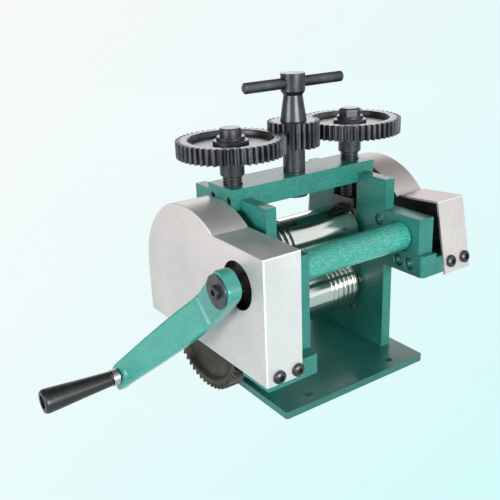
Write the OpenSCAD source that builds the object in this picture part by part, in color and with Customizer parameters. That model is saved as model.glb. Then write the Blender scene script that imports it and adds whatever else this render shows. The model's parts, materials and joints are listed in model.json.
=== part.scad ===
// Bench rolling mill for jewellers, with a cranked shaft, two geared rolls and a
// T-handle that moves two adjusting screws at once.
// X runs along the rolls, -Y is the side the work is fed from, Z is up, and the
// origin is under the middle of the rolls, on the underside of the base.

/* [Base] */
// How far the base plate reaches past each side plate, along the rolls
base_side = 7; // [4:0.5:12]
// Depth of the base plate, front to back
base_d = 134; // [126:1:150]
// Thickness of the base plate
base_t = 5; // [4:0.5:8]
// Radius of the base plate's corners
base_corner_r = 2; // [1:0.5:6]
// Distance from the base's left and right edges to its bolt holes
bolt_edge_x = 25; // [20:1:32]
// Distance from the base's front and back edges to its bolt holes
bolt_edge_y = 9.5; // [8:0.5:12]
// Diameter of each bolt hole
bolt_hole_d = 6.5; // [5:0.5:8]

/* [Side plates and bridge] */
// Room between a roll's face and the side plate beside it
roll_end_room = 3.2; // [2.8:0.1:4]
// Thickness of each side plate
plate_t = 8; // [7:0.5:9]
// Depth of each side plate, front to back
plate_d = 82; // [76:1:90]
// Height of the plate tops above the bench
plate_top_z = 131; // [129:1:133]
// Width of the bearing slot in each side plate
slot_w = 24.8; // [24.4:0.2:26]
// How far the bridge reaches past each side plate
bridge_end = 5.8; // [4:0.2:5.8]
// Depth of the bridge, front to back
bridge_d = 28.2; // [27:0.2:32]
// Height of the bridge
bridge_h = 13.8; // [12:0.2:15]
// Height of the bridge's underside above the bench
bridge_z = 124.4; // [123:0.2:126]

/* [Rolls] */
// Diameter of each roll
roll_d = 40; // [38:0.5:41]
// Length of each roll's working face
roll_face_w = 85.6; // [80:0.2:87]
// Gap between the rolls when they are closed
roll_gap = 0.3; // [0.2:0.1:0.6]
// Height of the lower roll's axis above the bench
lower_roll_z = 45; // [44.5:0.5:47]
// Diameter of the roll journals
journal_d = 16; // [14:0.5:16.5]
// Number of square wire grooves in each roll
wire_grooves = 6; // [4:1:7]
// Number of half-round grooves in the lower roll
round_grooves = 6; // [4:1:7]

/* [Bearing blocks] */
// Height of each bearing block
block_h = 38; // [34:0.5:39]
// Length of each bearing block along the rolls
block_w = 11.4; // [10:0.2:12]
// Wall thickness of the bronze bushes
bush_wall = 2; // [1.5:0.1:2.2]

/* [Drive gears] */
// Module of the drive gears
drive_module = 1.5; // [1.4:0.05:1.52]
// Teeth of the crank pinion
pinion_teeth = 19; // [18:1:20]
// Teeth of the idler
idler_teeth = 18; // [17:1:19]
// Teeth of the large drive gear
drive_teeth = 56; // [53:1:56]
// Width of the drive gear teeth
drive_face_w = 10; // [8:0.5:10.5]
// Teeth of each gear that ties the two rolls together
tie_teeth = 13; // [12:1:14]
// Width of the tie gear teeth
tie_face_w = 10; // [8:0.5:11]

/* [Crank] */
// Distance of the crank shaft in front of the rolls
shaft_y = 55.4; // [54:0.2:57]
// Height of the crank shaft above the bench
shaft_z = 95.2; // [94:0.2:96]
// Diameter of the crank shaft
shaft_d = 12; // [11:0.5:12.5]
// Outer diameter of the tube around the crank shaft
tube_d = 19.4; // [18:0.2:20]
// Distance from the shaft to the grip, square to the shaft
crank_throw = 110; // [90:1:112]
// How far the arm leans outwards between hub and grip
crank_lean = 35; // [20:1:38]
// Angle of the arm below level, pointing to the rear
crank_angle = 45.3; // [30:0.1:46]
// Length of the grip
grip_l = 47; // [44:1:60]
// Largest diameter of the grip
grip_d = 16; // [15:0.5:20]

/* [Covers] */
// Thickness of the cover sheet
cover_t = 1.5; // [1.2:0.1:1.8]
// Depth of the left cover along the rolls
left_cover_w = 25.8; // [25.4:0.2:28]
// Depth of the right cover along the rolls
right_cover_w = 25.3; // [24.8:0.5:28]
// Radius of the domed part of each cover
dome_r = 57; // [55:0.5:58]
// Angle that the right cover leans back at its front
right_cover_lean = 11.4; // [8:0.2:13]

/* [Adjusting gear] */
// Teeth of the pinion under the T-handle
centre_teeth = 24; // [22:1:24]
// Teeth of each gear on an adjusting screw
screw_teeth = 50; // [48:1:50]
// Thickness of the gears on the adjusting screws
screw_gear_t = 10.3; // [9:0.1:10.5]
// Height of the underside of those gears above the bench
screw_gear_z = 157.4; // [156:0.2:158]
// Diameter of the adjusting screws
screw_d = 13; // [12.5:0.1:13.5]
// Length of the T-handle's bar
t_bar_l = 80; // [70:1:90]
// Diameter of the T-handle's bar
t_bar_d = 7.2; // [6:0.2:8]

/* [Hidden] */
$fn = 48;
SMOOTH = 96;

// Running, sliding and press clearances, and the overrun of a cut past its face
running_gap = 0.05;
sliding_gap = 0.1;
press_gap = 0.02;
side_gap = 0.3;
overrun = 1;
// How far one solid runs into the next where both are one piece
bite = 0.5;

// Colours
PAINT = "mediumseagreen";
BLACKED = "dimgray";
BRIGHT = "gainsboro";
ALUMINIUM = "silver";
BRONZE = "peru";

// Places along X of the two side plates
plate_gap = roll_face_w + 2 * roll_end_room;
plate_in_x = plate_gap / 2;
plate_out_x = plate_in_x + plate_t;
plate_mid_x = plate_in_x + plate_t / 2;
base_w = 2 * (plate_out_x + base_side);
bridge_w = 2 * (plate_out_x + bridge_end);
bolt_pitch_x = base_w - 2 * bolt_edge_x;
bolt_pitch_y = base_d - 2 * bolt_edge_y;

// Heights of the rolls and of what carries them
roll_r = roll_d / 2;
roll_pitch = roll_d + roll_gap;
upper_roll_z = lower_roll_z + roll_pitch;
journal_r = journal_d / 2;
bush_r = journal_r + bush_wall;
block_d = slot_w - 2 * sliding_gap;
slot_floor_z = lower_roll_z - block_h / 2;
bridge_seat_d = bridge_d;
block_in_x = plate_mid_x - block_w / 2;

// Square wire grooves at the left of both rolls, half-round grooves at the right
wire_groove_depth = 2.6;
wire_groove_pitch = 4.5;
wire_groove_margin = 1.6;
groove_shrink_share = 0.09;
round_groove_r = 1.9;
round_groove_pitch = 4.1;
round_groove_margin = 2;
round_shrink_share = 0.11;
roll_edge = 0.6;

// Gear tooth shape: pressure angles, backlash and points on each flank
drive_pressure = 20;
tie_pressure = 25;
backlash = 0.2;
tie_backlash = 0.3;
root_share = 1.25;
flank_steps = 4;

// Drive gear train on the left, all in one plane
drive_room = 16;
drive_x = -(plate_out_x + drive_room);
pinion_r = drive_module * pinion_teeth / 2;
idler_r = drive_module * idler_teeth / 2;
drive_r = drive_module * drive_teeth / 2;
drive_dist = norm([shaft_y, shaft_z - lower_roll_z]);
drive_dir = atan2(shaft_z - lower_roll_z, -shaft_y);
idler_arm = drive_r + idler_r;
idler_reach = pinion_r + idler_r;
idler_along = (idler_arm * idler_arm - idler_reach * idler_reach + drive_dist * drive_dist)
    / (2 * drive_dist);
idler_aside = sqrt(idler_arm * idler_arm - idler_along * idler_along);
idler_y = idler_along * cos(drive_dir) - idler_aside * sin(drive_dir);
idler_z = lower_roll_z + idler_along * sin(drive_dir) + idler_aside * cos(drive_dir);
drive_rim = 7;
drive_recess = 3;
drive_slope = 3;
drive_hub_r = 15;
pin_r = 5;
pin_head_r = 8;
pin_head_t = 2.5;

// Tie gears on the right, whose module follows the distance between the rolls
tie_module = roll_pitch / tie_teeth;
tie_room = 6;
tie_x = plate_out_x + tie_room;
journal_tail = 1;
tie_end_x = tie_x + tie_face_w + journal_tail;

// Crank shaft, its blocks and the tube between them
shaft_r = shaft_d / 2;
shaft_bush_r = shaft_r + bush_wall;
tube_r = tube_d / 2;
tube_wall = 2.6;
tube_inset = 1;
tube_ring = 1.2;
shaft_block_side = 5;
shaft_block_w = plate_t + shaft_block_side;
shaft_block_out_x = plate_in_x + shaft_block_w;
shaft_front_wall = 17.2;
shaft_block_front = shaft_y + shaft_front_wall;
right_block_z = 85.5;
shaft_top_wall = 14.8;
shaft_block_top = shaft_z + shaft_top_wall;
ear_t = shaft_block_out_x - plate_out_x;
ear_d = 13;
collar_r = 10;
collar_t = 5;

// Brackets and bars that carry the covers
left_bracket_front = 81;
right_bracket_front = 76.7;
left_bracket_z = 35.5;
left_bracket_h = 13.2;
right_bracket_z = 70;
right_bar_h = 11;
bar_d = 26;
bracket_chamfer = 2;

// Covers
left_cover_room = 6.2;
left_cover_x = plate_out_x + left_cover_room;
left_cover_front = left_bracket_front + cover_t;
left_notch_y = 31;
left_cover_bottom = 38.9;
left_cover_top = 118.9;
dome_y = 3;
dome_z = 73;
left_cover_back = dome_y + dome_r;
shaft_hole_r = 15;
right_cover_room = 13.2;
right_cover_x = plate_out_x + right_cover_room;
right_cover_front = right_bracket_front + cover_t;
right_notch_y = 33.5;
right_notch_drop = 2.8;
right_cover_bottom = 68;
right_cover_top = 117.5;
right_dome_y = 12;
right_dome_z = 76;
right_cover_back = right_dome_y + dome_r;
left_notch = [-left_notch_y, left_cover_top];
right_notch = [-right_notch_y, right_cover_top - right_notch_drop];

// Places of the screws that hold the bars and the covers
bracket_screw_back = 1;
bracket_screw_ahead = 9;
bracket_screw_drop = 3.6;
bracket_screw_places = [shaft_y - bracket_screw_back, shaft_y + bracket_screw_ahead];
right_screws_z = right_bracket_z + right_bar_h - bracket_screw_drop;
left_screws_z = left_bracket_z + left_bracket_h / 2;
cover_screw_spacing = 13.6;
left_screws_share = 0.4;
right_screws_share = 0.52;
left_cover_end = left_cover_x + left_cover_w;
right_cover_end = right_cover_x + right_cover_w;
left_cover_screws = [for (s = [-1, 1]) left_cover_x + left_cover_w * left_screws_share
    + s * cover_screw_spacing / 2];
right_cover_screws = [for (s = [-1, 1]) right_cover_x + right_cover_w * right_screws_share
    + s * cover_screw_spacing / 2];
cover_screw_lift = 2.2;
left_cover_screw_z = left_bracket_z + left_bracket_h / 2 + cover_screw_lift;
right_cover_screw_z = right_bracket_z + right_bar_h / 2;

// Small fasteners
button_r = 3.8;
button_h = 2.6;
button_dome_share = 0.8;
thread_r = 2;
socket_r = 1.5;
plate_socket_r = 3;
crank_socket_r = 2.1;
socket_depth = 1.4;
fastener_l = 12;
fastener_tip_gap = 1;
fastener_reach = fastener_l - fastener_tip_gap;
grub_r = 2.6;
grub_y = 9.2;
grub_share = 0.42;
grub_depth = 0.8;
plate_screw_r = 3;
plate_screw_head_r = 5;
plate_screw_head_h = 3;
plate_screw_y = 27;
plate_screw_l = 16;
block_screw_z = 101.9;
block_screw_edge = 5.7;
block_screw_y = plate_d / 2 - block_screw_edge;
block_screw_low = 58;

// Adjusting gear
screw_x = plate_mid_x;
screw_module = 2 * screw_x / (centre_teeth + screw_teeth);
screw_r = screw_d / 2;
screw_pitch_r = screw_module * screw_teeth / 2;
centre_below = 2.4;
centre_above = 4.6;
centre_bottom_z = screw_gear_z - centre_below;
centre_top_z = screw_gear_z + screw_gear_t + centre_above;
column_r = 7.5;
spindle_r = 6;
spindle_ring_r = 9;
spindle_ring_t = 3;
recess_rim = 7.4;
recess_r = screw_pitch_r - recess_rim;
recess_depth = 3.4;
recess_slope = 1.6;
neck_wall = 1.4;
neck_r = screw_r + neck_wall;
neck_l = 13.5;
cap_flange_r = 11.6;
cap_flange_t = 3.6;
cap_bevel = 1.6;
end_ring_t = 1.6;
end_ring_lip = 1;
spigot_step = 1;
spigot_r = screw_r - spigot_step;
cap_head_r = 6.6;
cap_head_h = 6.5;
nut_wall = 3;
nut_lid = 3;
keeper_w = 12;
keeper_d = 20;
keeper_h = 7;
keeper_floor = 3;
foot_r = 4.5;
foot_neck_r = 3.2;
foot_h = keeper_floor - sliding_gap;
block_top_z = upper_roll_z + block_h / 2;
socket_top_z = 203;
socket_head_h = 11.5;
socket_head_r = 8.1;
socket_neck_h = 2.6;
socket_neck_r = 6.3;
socket_foot_r = 8.8;
t_bar_z = 196.8;
t_bar_shift = 1.5;

// Crank arm, bolt and grip
arm_room = 13.4;
arm_face_x = left_cover_end + arm_room;
hub_t = 8.9;
hub_w = 21;
hub_back = 11.5;
arm_t = 7.2;
arm_waist_w = 19.6;
arm_belly_w = 22.6;
arm_end_w = 20;
arm_end_r = 10;
arm_bend = 27;
square_w = 8.4;
washer_r = 10.4;
slice_t = 1;
hub_overlap = 3;
arm_corner_share = 0.25;
hub_corner_share = 0.33;
bar_tip_share = 0.125;
shaft_tail = 1.3;
washer_t = 0.9;
crank_head_r = 4.2;
crank_head_h = 2.2;
crank_thread_r = 2.5;
grip_bolt_r = 3;
grip_collar_r = 5.6;
grip_collar_l = 4;
grip_start_r = 5;
grip_hole_r = 4.6;
grip_shares = [[0, -0.15], [0.02, 0], [0.42, 0.4], [0.8, 0.86], [0.94, 1], [0.975, 0.93],
    [1, 0.7]];
grip_hole_depth = 8;
grip_head_h = 2;
shaft_square_end = hub_t - 2;

// Guide screw, the small bright pin beside the lower roll
guide_y = 17.5;
guide_z = 51;
guide_r = 3.4;
guide_shank_r = 1.6;
guide_l = 4.6;
guide_tip = 2.4;

// Angle of a point on the involute of a circle of radius rb, at radius r
function roll_angle(r, rb) = let (a = acos(min(1, rb / r))) tan(a) * 180 / PI - a;

// One flank of a tooth as [radius, angle from the tooth's middle] from root to tip
function flank(teeth, size, pressure, slack) =
    let (rp = size * teeth / 2, rb = rp * cos(pressure), tip = rp + size,
        root = rp - root_share * size, low = max(rb, root),
        half = 90 / teeth - slack / 4 / rp * 180 / PI + roll_angle(rp, rb))
    [[root, half - roll_angle(low, rb)],
     for (i = [0:flank_steps]) let (r = low + (tip - low) * i / flank_steps)
        [r, half - roll_angle(r, rb)]];

// Outline of a spur gear with one tooth's middle on the first axis
function gear_points(teeth, size, pressure, slack) =
    let (side = flank(teeth, size, pressure, slack), last = len(side) - 1)
    [for (k = [0:teeth - 1])
        each [for (j = [0:2 * last + 1])
            let (p = j <= last ? side[j] : side[2 * last + 1 - j],
                a = 360 * k / teeth + (j <= last ? -p[1] : p[1]))
            [p[0] * cos(a), p[0] * sin(a)]]];

// Angle that puts the second gear's gap on the first gear's tooth. The line from the
// first to the second points along angle dir, and the first stands at angle turn.
function mesh_turn(dir, turn, first, second) =
    dir + 180 + 180 / second - (turn - dir) * first / second;

// Turns what follows from standing on Z to lying along X, flat shapes keep (y, z)
module along_x() {
    rotate([90, 0, 90]) children();
}

module rod_x(x0, x1, r) {
    translate([x0, 0, 0]) rotate([0, 90, 0]) cylinder(h = x1 - x0, r = r, $fn = SMOOTH);
}

module box(x0, x1, y0, y1, z0, z1) {
    translate([x0, y0, z0]) cube([x1 - x0, y1 - y0, z1 - z0]);
}

// A rectangle with round corners, standing on the origin's middle
module round_rect(w, d, r) {
    square([w - 2 * r, d], center = true);
    square([w, d - 2 * r], center = true);
    for (sx = [-1, 1], sy = [-1, 1])
        translate([sx * (w / 2 - r), sy * (d / 2 - r)]) circle(r = r);
}

// A button-head screw whose seat is at the origin and whose head points along +Z
module button_screw(length) {
    difference() {
        union() {
            cylinder(h = button_h * (1 - button_dome_share / 2), r = button_r);
            translate([0, 0, button_h * (1 - button_dome_share / 2)])
                cylinder(h = button_h * button_dome_share / 2, r1 = button_r,
                    r2 = button_r * button_dome_share);
            translate([0, 0, -length]) cylinder(h = length + bite, r = thread_r);
        }
        translate([0, 0, button_h - socket_depth])
            cylinder(h = socket_depth + overrun, r = socket_r, $fn = 6);
    }
}

module base_plate() {
    color(PAINT) difference() {
        linear_extrude(base_t) round_rect(base_w, base_d, base_corner_r);
        for (sx = [-1, 1], sy = [-1, 1])
            translate([sx * bolt_pitch_x / 2, sy * bolt_pitch_y / 2, -overrun])
                cylinder(h = base_t + 2 * overrun, d = bolt_hole_d);
        for (sx = [-1, 1], sy = [-1, 1])
            translate([sx * plate_mid_x, sy * plate_screw_y, 0]) {
                translate([0, 0, -overrun])
                    cylinder(h = base_t + 2 * overrun, r = plate_screw_r + press_gap);
                translate([0, 0, -overrun])
                    cylinder(h = plate_screw_head_h + overrun, r = plate_screw_head_r + press_gap);
            }
    }
}

// Screws that come up through the base into the side plates
module plate_screws() {
    color(BLACKED) for (sx = [-1, 1], sy = [-1, 1])
        translate([sx * plate_mid_x, sy * plate_screw_y, 0]) difference() {
            union() {
                cylinder(h = plate_screw_head_h, r = plate_screw_head_r);
                cylinder(h = base_t + plate_screw_l, r = plate_screw_r);
            }
            translate([0, 0, -overrun])
                cylinder(h = socket_depth + overrun, r = plate_socket_r, $fn = 6);
        }
}

// A side plate, drawn for the right side
module side_plate(with_idler) {
    difference() {
        box(plate_in_x, plate_out_x, -plate_d / 2, plate_d / 2, base_t, plate_top_z);
        box(plate_in_x - overrun, plate_out_x + overrun, -slot_w / 2, slot_w / 2,
            slot_floor_z, plate_top_z + overrun);
        box(plate_in_x - overrun, plate_out_x + overrun, -bridge_seat_d / 2,
            bridge_seat_d / 2, bridge_z, plate_top_z + overrun);
        for (sy = [-1, 1])
            translate([plate_mid_x, sy * plate_screw_y, base_t - overrun])
                cylinder(h = plate_screw_l + overrun, r = plate_screw_r + press_gap);
        for (z = with_idler ? [block_screw_z, block_screw_low] : [block_screw_z])
            translate([0, -block_screw_y, z])
                rod_x(plate_in_x - overrun, plate_out_x + overrun, thread_r + press_gap);
        for (z = with_idler ? [block_screw_z, block_screw_low] : [block_screw_z])
            translate([0, -block_screw_y, z])
                rod_x(plate_in_x - overrun, plate_in_x + button_h + side_gap,
                    button_r + side_gap);
        if (!with_idler)
            translate([0, -guide_y, guide_z])
                rod_x(plate_in_x - overrun, plate_in_x + guide_l, guide_shank_r + press_gap);
    }
}

module left_side_plate() {
    color(PAINT) mirror([1, 0, 0]) side_plate(true);
}

module right_side_plate() {
    color(PAINT) side_plate(false);
}

// The bar across the slots, which holds the screw nuts and the T-handle's spindle
module bridge() {
    color(PAINT) difference() {
        box(-bridge_w / 2, bridge_w / 2, -bridge_d / 2, bridge_d / 2, bridge_z,
            bridge_z + bridge_h);
        for (sx = [-1, 1]) {
            translate([sx * screw_x, 0, bridge_z - overrun])
                cylinder(h = bridge_h - nut_lid + overrun, r = screw_r + nut_wall + press_gap,
                    $fn = SMOOTH);
            translate([sx * screw_x, 0, bridge_z])
                cylinder(h = bridge_h + overrun, r = screw_r + sliding_gap, $fn = SMOOTH);
            for (sy = [-1, 1])
                translate([sx * bridge_w / 2, sy * grub_y, bridge_z + bridge_h * grub_share])
                    rotate([0, 90, 0]) cylinder(h = bridge_w - 2 * screw_x, r = grub_r,
                        center = true);
        }
        translate([0, 0, bridge_z - overrun])
            cylinder(h = bridge_h + 2 * overrun, r = spindle_r + running_gap, $fn = SMOOTH);
    }
}

// Screw nut, a bronze sleeve in the bridge
module screw_nut(side) {
    color(BRONZE) translate([side * screw_x, 0, bridge_z]) difference() {
        cylinder(h = bridge_h - nut_lid, r = screw_r + nut_wall, $fn = SMOOTH);
        translate([0, 0, -overrun])
            cylinder(h = bridge_h + 2 * overrun, r = screw_r + running_gap, $fn = SMOOTH);
    }
}

// Short grub screws in the bridge ends, which keep the nuts from turning
module bridge_grub_screws() {
    nut_side = sqrt(pow(screw_r + nut_wall, 2) - pow(grub_y - grub_r, 2));
    seat_x = screw_x + nut_side + side_gap;
    color(BLACKED) for (side = [-1, 1], sy = [-1, 1])
        translate([0, sy * grub_y, bridge_z + bridge_h * grub_share]) mirror([side < 0 ? 1 : 0, 0, 0])
            difference() {
                rod_x(seat_x, bridge_w / 2 - grub_depth, grub_r - press_gap);
                translate([bridge_w / 2 - grub_depth - socket_depth, 0, 0]) rotate([0, 90, 0])
                    cylinder(h = socket_depth + overrun, r = socket_r, $fn = 6);
            }
}

module front_tube() {
    color(PAINT) translate([0, -shaft_y, shaft_z]) difference() {
        rod_x(-plate_in_x - tube_inset, plate_in_x + tube_inset, tube_r);
        rod_x(-plate_in_x - tube_inset - overrun, plate_in_x + tube_inset + overrun,
            tube_r - tube_wall);
    }
}

// Block that carries one end of the crank shaft, drawn for the right side
module shaft_block(bottom_z, ear_low) {
    difference() {
        union() {
            box(plate_in_x, shaft_block_out_x, -shaft_block_front, -plate_d / 2, bottom_z,
                shaft_block_top);
            box(plate_out_x, shaft_block_out_x, -plate_d / 2 - bite, -plate_d / 2 + ear_d,
                ear_low, shaft_block_top);
        }
        translate([0, -shaft_y, shaft_z]) {
            rod_x(plate_in_x - overrun, shaft_block_out_x + overrun, shaft_bush_r + press_gap);
            rod_x(plate_in_x - overrun, plate_in_x + tube_inset, tube_r + tube_ring);
        }
        for (z = [block_screw_z, block_screw_low])
            translate([0, -block_screw_y, z])
                rod_x(plate_out_x - overrun, shaft_block_out_x + overrun, thread_r + press_gap);
    }
}

module left_shaft_block() {
    low = left_bracket_z + left_bracket_h;
    color(PAINT) difference() {
        mirror([1, 0, 0]) shaft_block(low, low);
        translate([0, idler_y, idler_z])
            rod_x(-shaft_block_out_x - overrun, -plate_in_x + overrun, pin_r + press_gap);
    }
}

module right_shaft_block() {
    color(PAINT) shaft_block(right_block_z, right_block_z);
}

// Screws through the side plates into the shaft blocks' ears
module block_screws() {
    places = [[-1, block_screw_z], [-1, block_screw_low], [1, block_screw_z]];
    color(BLACKED) for (p = places)
        mirror([p[0] < 0 ? 1 : 0, 0, 0])
            translate([plate_in_x + button_h + side_gap, -block_screw_y, p[1]])
                rotate([0, -90, 0]) button_screw(plate_t + ear_t - button_h - side_gap);
}

module shaft_bush(side) {
    color(BRONZE) mirror([side < 0 ? 1 : 0, 0, 0]) translate([0, -shaft_y, shaft_z]) difference() {
        rod_x(plate_in_x + tube_inset, shaft_block_out_x, shaft_bush_r);
        rod_x(plate_in_x, shaft_block_out_x + overrun, shaft_r + running_gap);
    }
}

// Bracket under a shaft block, drawn for the right side, with its front edge cut off
module cover_bracket(front, z0, z1, screws_z) {
    difference() {
        translate([0, 0, z0]) linear_extrude(z1 - z0) polygon([
            [plate_in_x, -plate_d / 2], [shaft_block_out_x, -plate_d / 2],
            [shaft_block_out_x, -front], [plate_in_x + bracket_chamfer, -front],
            [plate_in_x, -front + bracket_chamfer]]);
        for (y = bracket_screw_places)
            translate([0, -y, screws_z]) {
                rod_x(plate_in_x - overrun, shaft_block_out_x + overrun, thread_r + press_gap);
                rod_x(plate_in_x - overrun, plate_in_x + button_h + side_gap,
                    button_r + side_gap);
            }
    }
}

module left_cover_bracket() {
    color(PAINT) mirror([1, 0, 0])
        cover_bracket(left_bracket_front, left_bracket_z, left_bracket_z + left_bracket_h,
            left_screws_z);
}

module right_cover_bracket() {
    color(PAINT) cover_bracket(right_bracket_front, right_bracket_z, right_block_z,
        right_screws_z);
}

// Bar that carries a cover, drawn for the right side
module cover_bar(front, z0, height, end_x, cover_z, lean, screws_z, cover_screw_x,
        cover_screw_z) {
    low_y = -front + (z0 - cover_z) * tan(lean);
    high_y = low_y + height * tan(lean);
    back_y = -front + bar_d;
    difference() {
        translate([shaft_block_out_x, 0, 0]) along_x() linear_extrude(end_x - shaft_block_out_x)
            polygon([[low_y, z0], [high_y, z0 + height], [back_y, z0 + height], [back_y, z0]]);
        for (y = bracket_screw_places)
            translate([0, -y, screws_z])
                rod_x(shaft_block_out_x - overrun, shaft_block_out_x + fastener_l,
                    thread_r + press_gap);
        for (x = cover_screw_x)
            cover_screw_place(x, front + cover_t, cover_z, lean, cover_screw_z)
                translate([0, 0, -fastener_l])
                cylinder(h = fastener_l + overrun, r = thread_r + press_gap);
    }
}

// Puts what follows on a cover's front, with +Z square to the sheet and outwards
module cover_screw_place(x, front, cover_z, lean, z) {
    translate([x, -front + (z - cover_z) * tan(lean), z])
        rotate([90 - lean, 0, 0]) children();
}

module left_cover_bar() {
    color(PAINT) mirror([1, 0, 0]) cover_bar(left_bracket_front, left_bracket_z, left_bracket_h,
        left_cover_end - cover_t - side_gap, left_bracket_z, 0, left_screws_z,
        left_cover_screws, left_cover_screw_z);
}

module right_cover_bar() {
    color(PAINT) cover_bar(right_bracket_front, right_bracket_z, right_bar_h,
        right_cover_end - cover_t - side_gap, right_cover_bottom, right_cover_lean,
        right_screws_z, right_cover_screws, right_cover_screw_z);
}

// Screws that hold the bars to their brackets
module bracket_screws() {
    heads = [[-1, left_screws_z], [1, right_screws_z]];
    length = shaft_block_w - button_h - side_gap + fastener_reach;
    color(BLACKED) for (p = heads, y = bracket_screw_places)
        mirror([p[0] < 0 ? 1 : 0, 0, 0])
            translate([plate_in_x + button_h + side_gap, -y, p[1]])
                rotate([0, -90, 0]) button_screw(length);
}

// Side view of a cover as a flat shape in (y, z), drawn in by inset
module cover_outline(front, bottom, top, back, centre_y, centre_z, lean, notch, inset, open) {
    r = dome_r - inset;
    low = bottom - open;
    low_y = -front + inset + (low - bottom) * tan(lean);
    top_y = -front + inset + (top - inset - bottom) * tan(lean);
    union() {
        translate([centre_y, centre_z]) circle(r = r, $fn = SMOOTH);
        polygon([[low_y, low], [top_y, top - inset],
            [notch[0] + inset, notch[1] - inset], [centre_y, centre_z],
            [centre_y + r, centre_z], [back - inset, low]]);
    }
}

// Lower roll's side of the left cover: a box of sheet that is open at the frame's side
// and below, where the large gear hangs out
module left_cover() {
    color(ALUMINIUM) mirror([1, 0, 0]) difference() {
        translate([left_cover_x, 0, 0]) along_x() linear_extrude(left_cover_w)
            intersection() {
                cover_outline(left_cover_front, left_cover_bottom, left_cover_top,
                    left_cover_back, dome_y, dome_z, 0, left_notch, 0, 0);
                translate([-2 * dome_r, left_cover_bottom]) square(4 * dome_r);
            }
        translate([left_cover_x - overrun, 0, 0]) along_x()
            linear_extrude(left_cover_w - cover_t + overrun)
            cover_outline(left_cover_front, left_cover_bottom, left_cover_top,
                left_cover_back, dome_y, dome_z, 0, left_notch, cover_t, overrun);
        translate([0, -shaft_y, shaft_z])
            rod_x(left_cover_end - cover_t - overrun, left_cover_end + overrun, shaft_hole_r);
        for (x = left_cover_screws)
            cover_screw_place(x, left_cover_front, left_cover_bottom, 0, left_cover_screw_z)
                translate([0, 0, -cover_t - overrun])
                cylinder(h = cover_t + 2 * overrun, r = thread_r + press_gap);
    }
}

module right_cover() {
    color(ALUMINIUM) difference() {
        translate([right_cover_x, 0, 0]) along_x() linear_extrude(right_cover_w)
            intersection() {
                cover_outline(right_cover_front, right_cover_bottom, right_cover_top,
                    right_cover_back, right_dome_y, right_dome_z, right_cover_lean,
                    right_notch, 0, 0);
                translate([-2 * dome_r, right_cover_bottom]) square(4 * dome_r);
            }
        translate([right_cover_x - overrun, 0, 0]) along_x()
            linear_extrude(right_cover_w - cover_t + overrun)
            cover_outline(right_cover_front, right_cover_bottom, right_cover_top,
                right_cover_back, right_dome_y, right_dome_z, right_cover_lean,
                right_notch, cover_t, overrun);
        for (x = right_cover_screws)
            cover_screw_place(x, right_cover_front, right_cover_bottom, right_cover_lean,
                right_cover_screw_z)
                translate([0, 0, -cover_t - overrun])
                cylinder(h = cover_t + 2 * overrun, r = thread_r + press_gap);
    }
}

module cover_screws() {
    color(BLACKED) {
        for (x = left_cover_screws)
            cover_screw_place(-x, left_cover_front, left_cover_bottom, 0, left_cover_screw_z)
                button_screw(fastener_reach);
        for (x = right_cover_screws)
            cover_screw_place(x, right_cover_front, right_cover_bottom, right_cover_lean,
                right_cover_screw_z)
                button_screw(fastener_reach);
    }
}

// Bearing block round one journal, drawn for the right side
module bearing_block(z) {
    difference() {
        box(block_in_x, block_in_x + block_w, -block_d / 2, block_d / 2, z - block_h / 2,
            z + block_h / 2);
        translate([0, 0, z])
            rod_x(block_in_x - overrun, block_in_x + block_w + overrun, bush_r + press_gap);
    }
}

module journal_bush(z) {
    translate([0, 0, z]) difference() {
        rod_x(block_in_x, block_in_x + block_w, bush_r);
        rod_x(block_in_x - overrun, block_in_x + block_w + overrun, journal_r + running_gap);
    }
}

// Bronze rings between the roll ends and the blocks
module thrust_rings(z) {
    color(BRONZE) for (side = [0, 1]) mirror([side, 0, 0]) translate([0, 0, z]) difference() {
        rod_x(roll_face_w / 2 + sliding_gap, block_in_x, bush_r + bush_wall);
        rod_x(roll_face_w / 2, block_in_x + overrun, journal_r + running_gap);
    }
}

// A roll about its own axis, with journals that reach from x0 to x1
module roll(x0, x1, half_round) {
    difference() {
        union() {
            rod_x(-roll_face_w / 2 + roll_edge, roll_face_w / 2 - roll_edge, roll_r);
            rod_x(-roll_face_w / 2, roll_face_w / 2, roll_r - roll_edge);
            rod_x(x0, x1, journal_r);
        }
        for (i = [0:wire_grooves - 1])
            let (depth = wire_groove_depth * (1 - groove_shrink_share * i),
                x = -roll_face_w / 2 + wire_groove_margin + wire_groove_depth
                    + i * wire_groove_pitch)
            rotate([0, 90, 0]) translate([0, 0, x]) rotate_extrude($fn = SMOOTH)
                polygon([[roll_r - depth, 0], [roll_r + overrun, -depth - overrun],
                    [roll_r + overrun, depth + overrun]]);
        if (half_round)
            for (i = [0:round_grooves - 1])
                let (r = round_groove_r * (1 - round_shrink_share * (round_grooves - 1 - i)))
                rotate([0, 90, 0])
                    translate([0, 0, roll_face_w / 2 - round_groove_margin - round_groove_r
                        - (round_grooves - 1 - i) * round_groove_pitch])
                    rotate_extrude($fn = SMOOTH) translate([roll_r, 0]) circle(r = r, $fn = 24);
    }
}

// A gear on the X axis with its first face at x0, turned by an angle about X
module gear_x(x0, width, teeth, size, pressure, slack, turn) {
    translate([x0, 0, 0]) along_x() rotate([0, 0, turn])
        linear_extrude(width) polygon(gear_points(teeth, size, pressure, slack));
}

pinion_turn = mesh_turn(atan2(shaft_z - idler_z, -shaft_y - idler_y), 0, idler_teeth,
    pinion_teeth);
drive_turn = mesh_turn(atan2(lower_roll_z - idler_z, -idler_y), 0, idler_teeth, drive_teeth);

module lower_roll() {
    color(BRIGHT) translate([0, 0, lower_roll_z]) roll(drive_x - drive_face_w - journal_tail,
        tie_x + tie_face_w + journal_tail, true);
}

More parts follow.
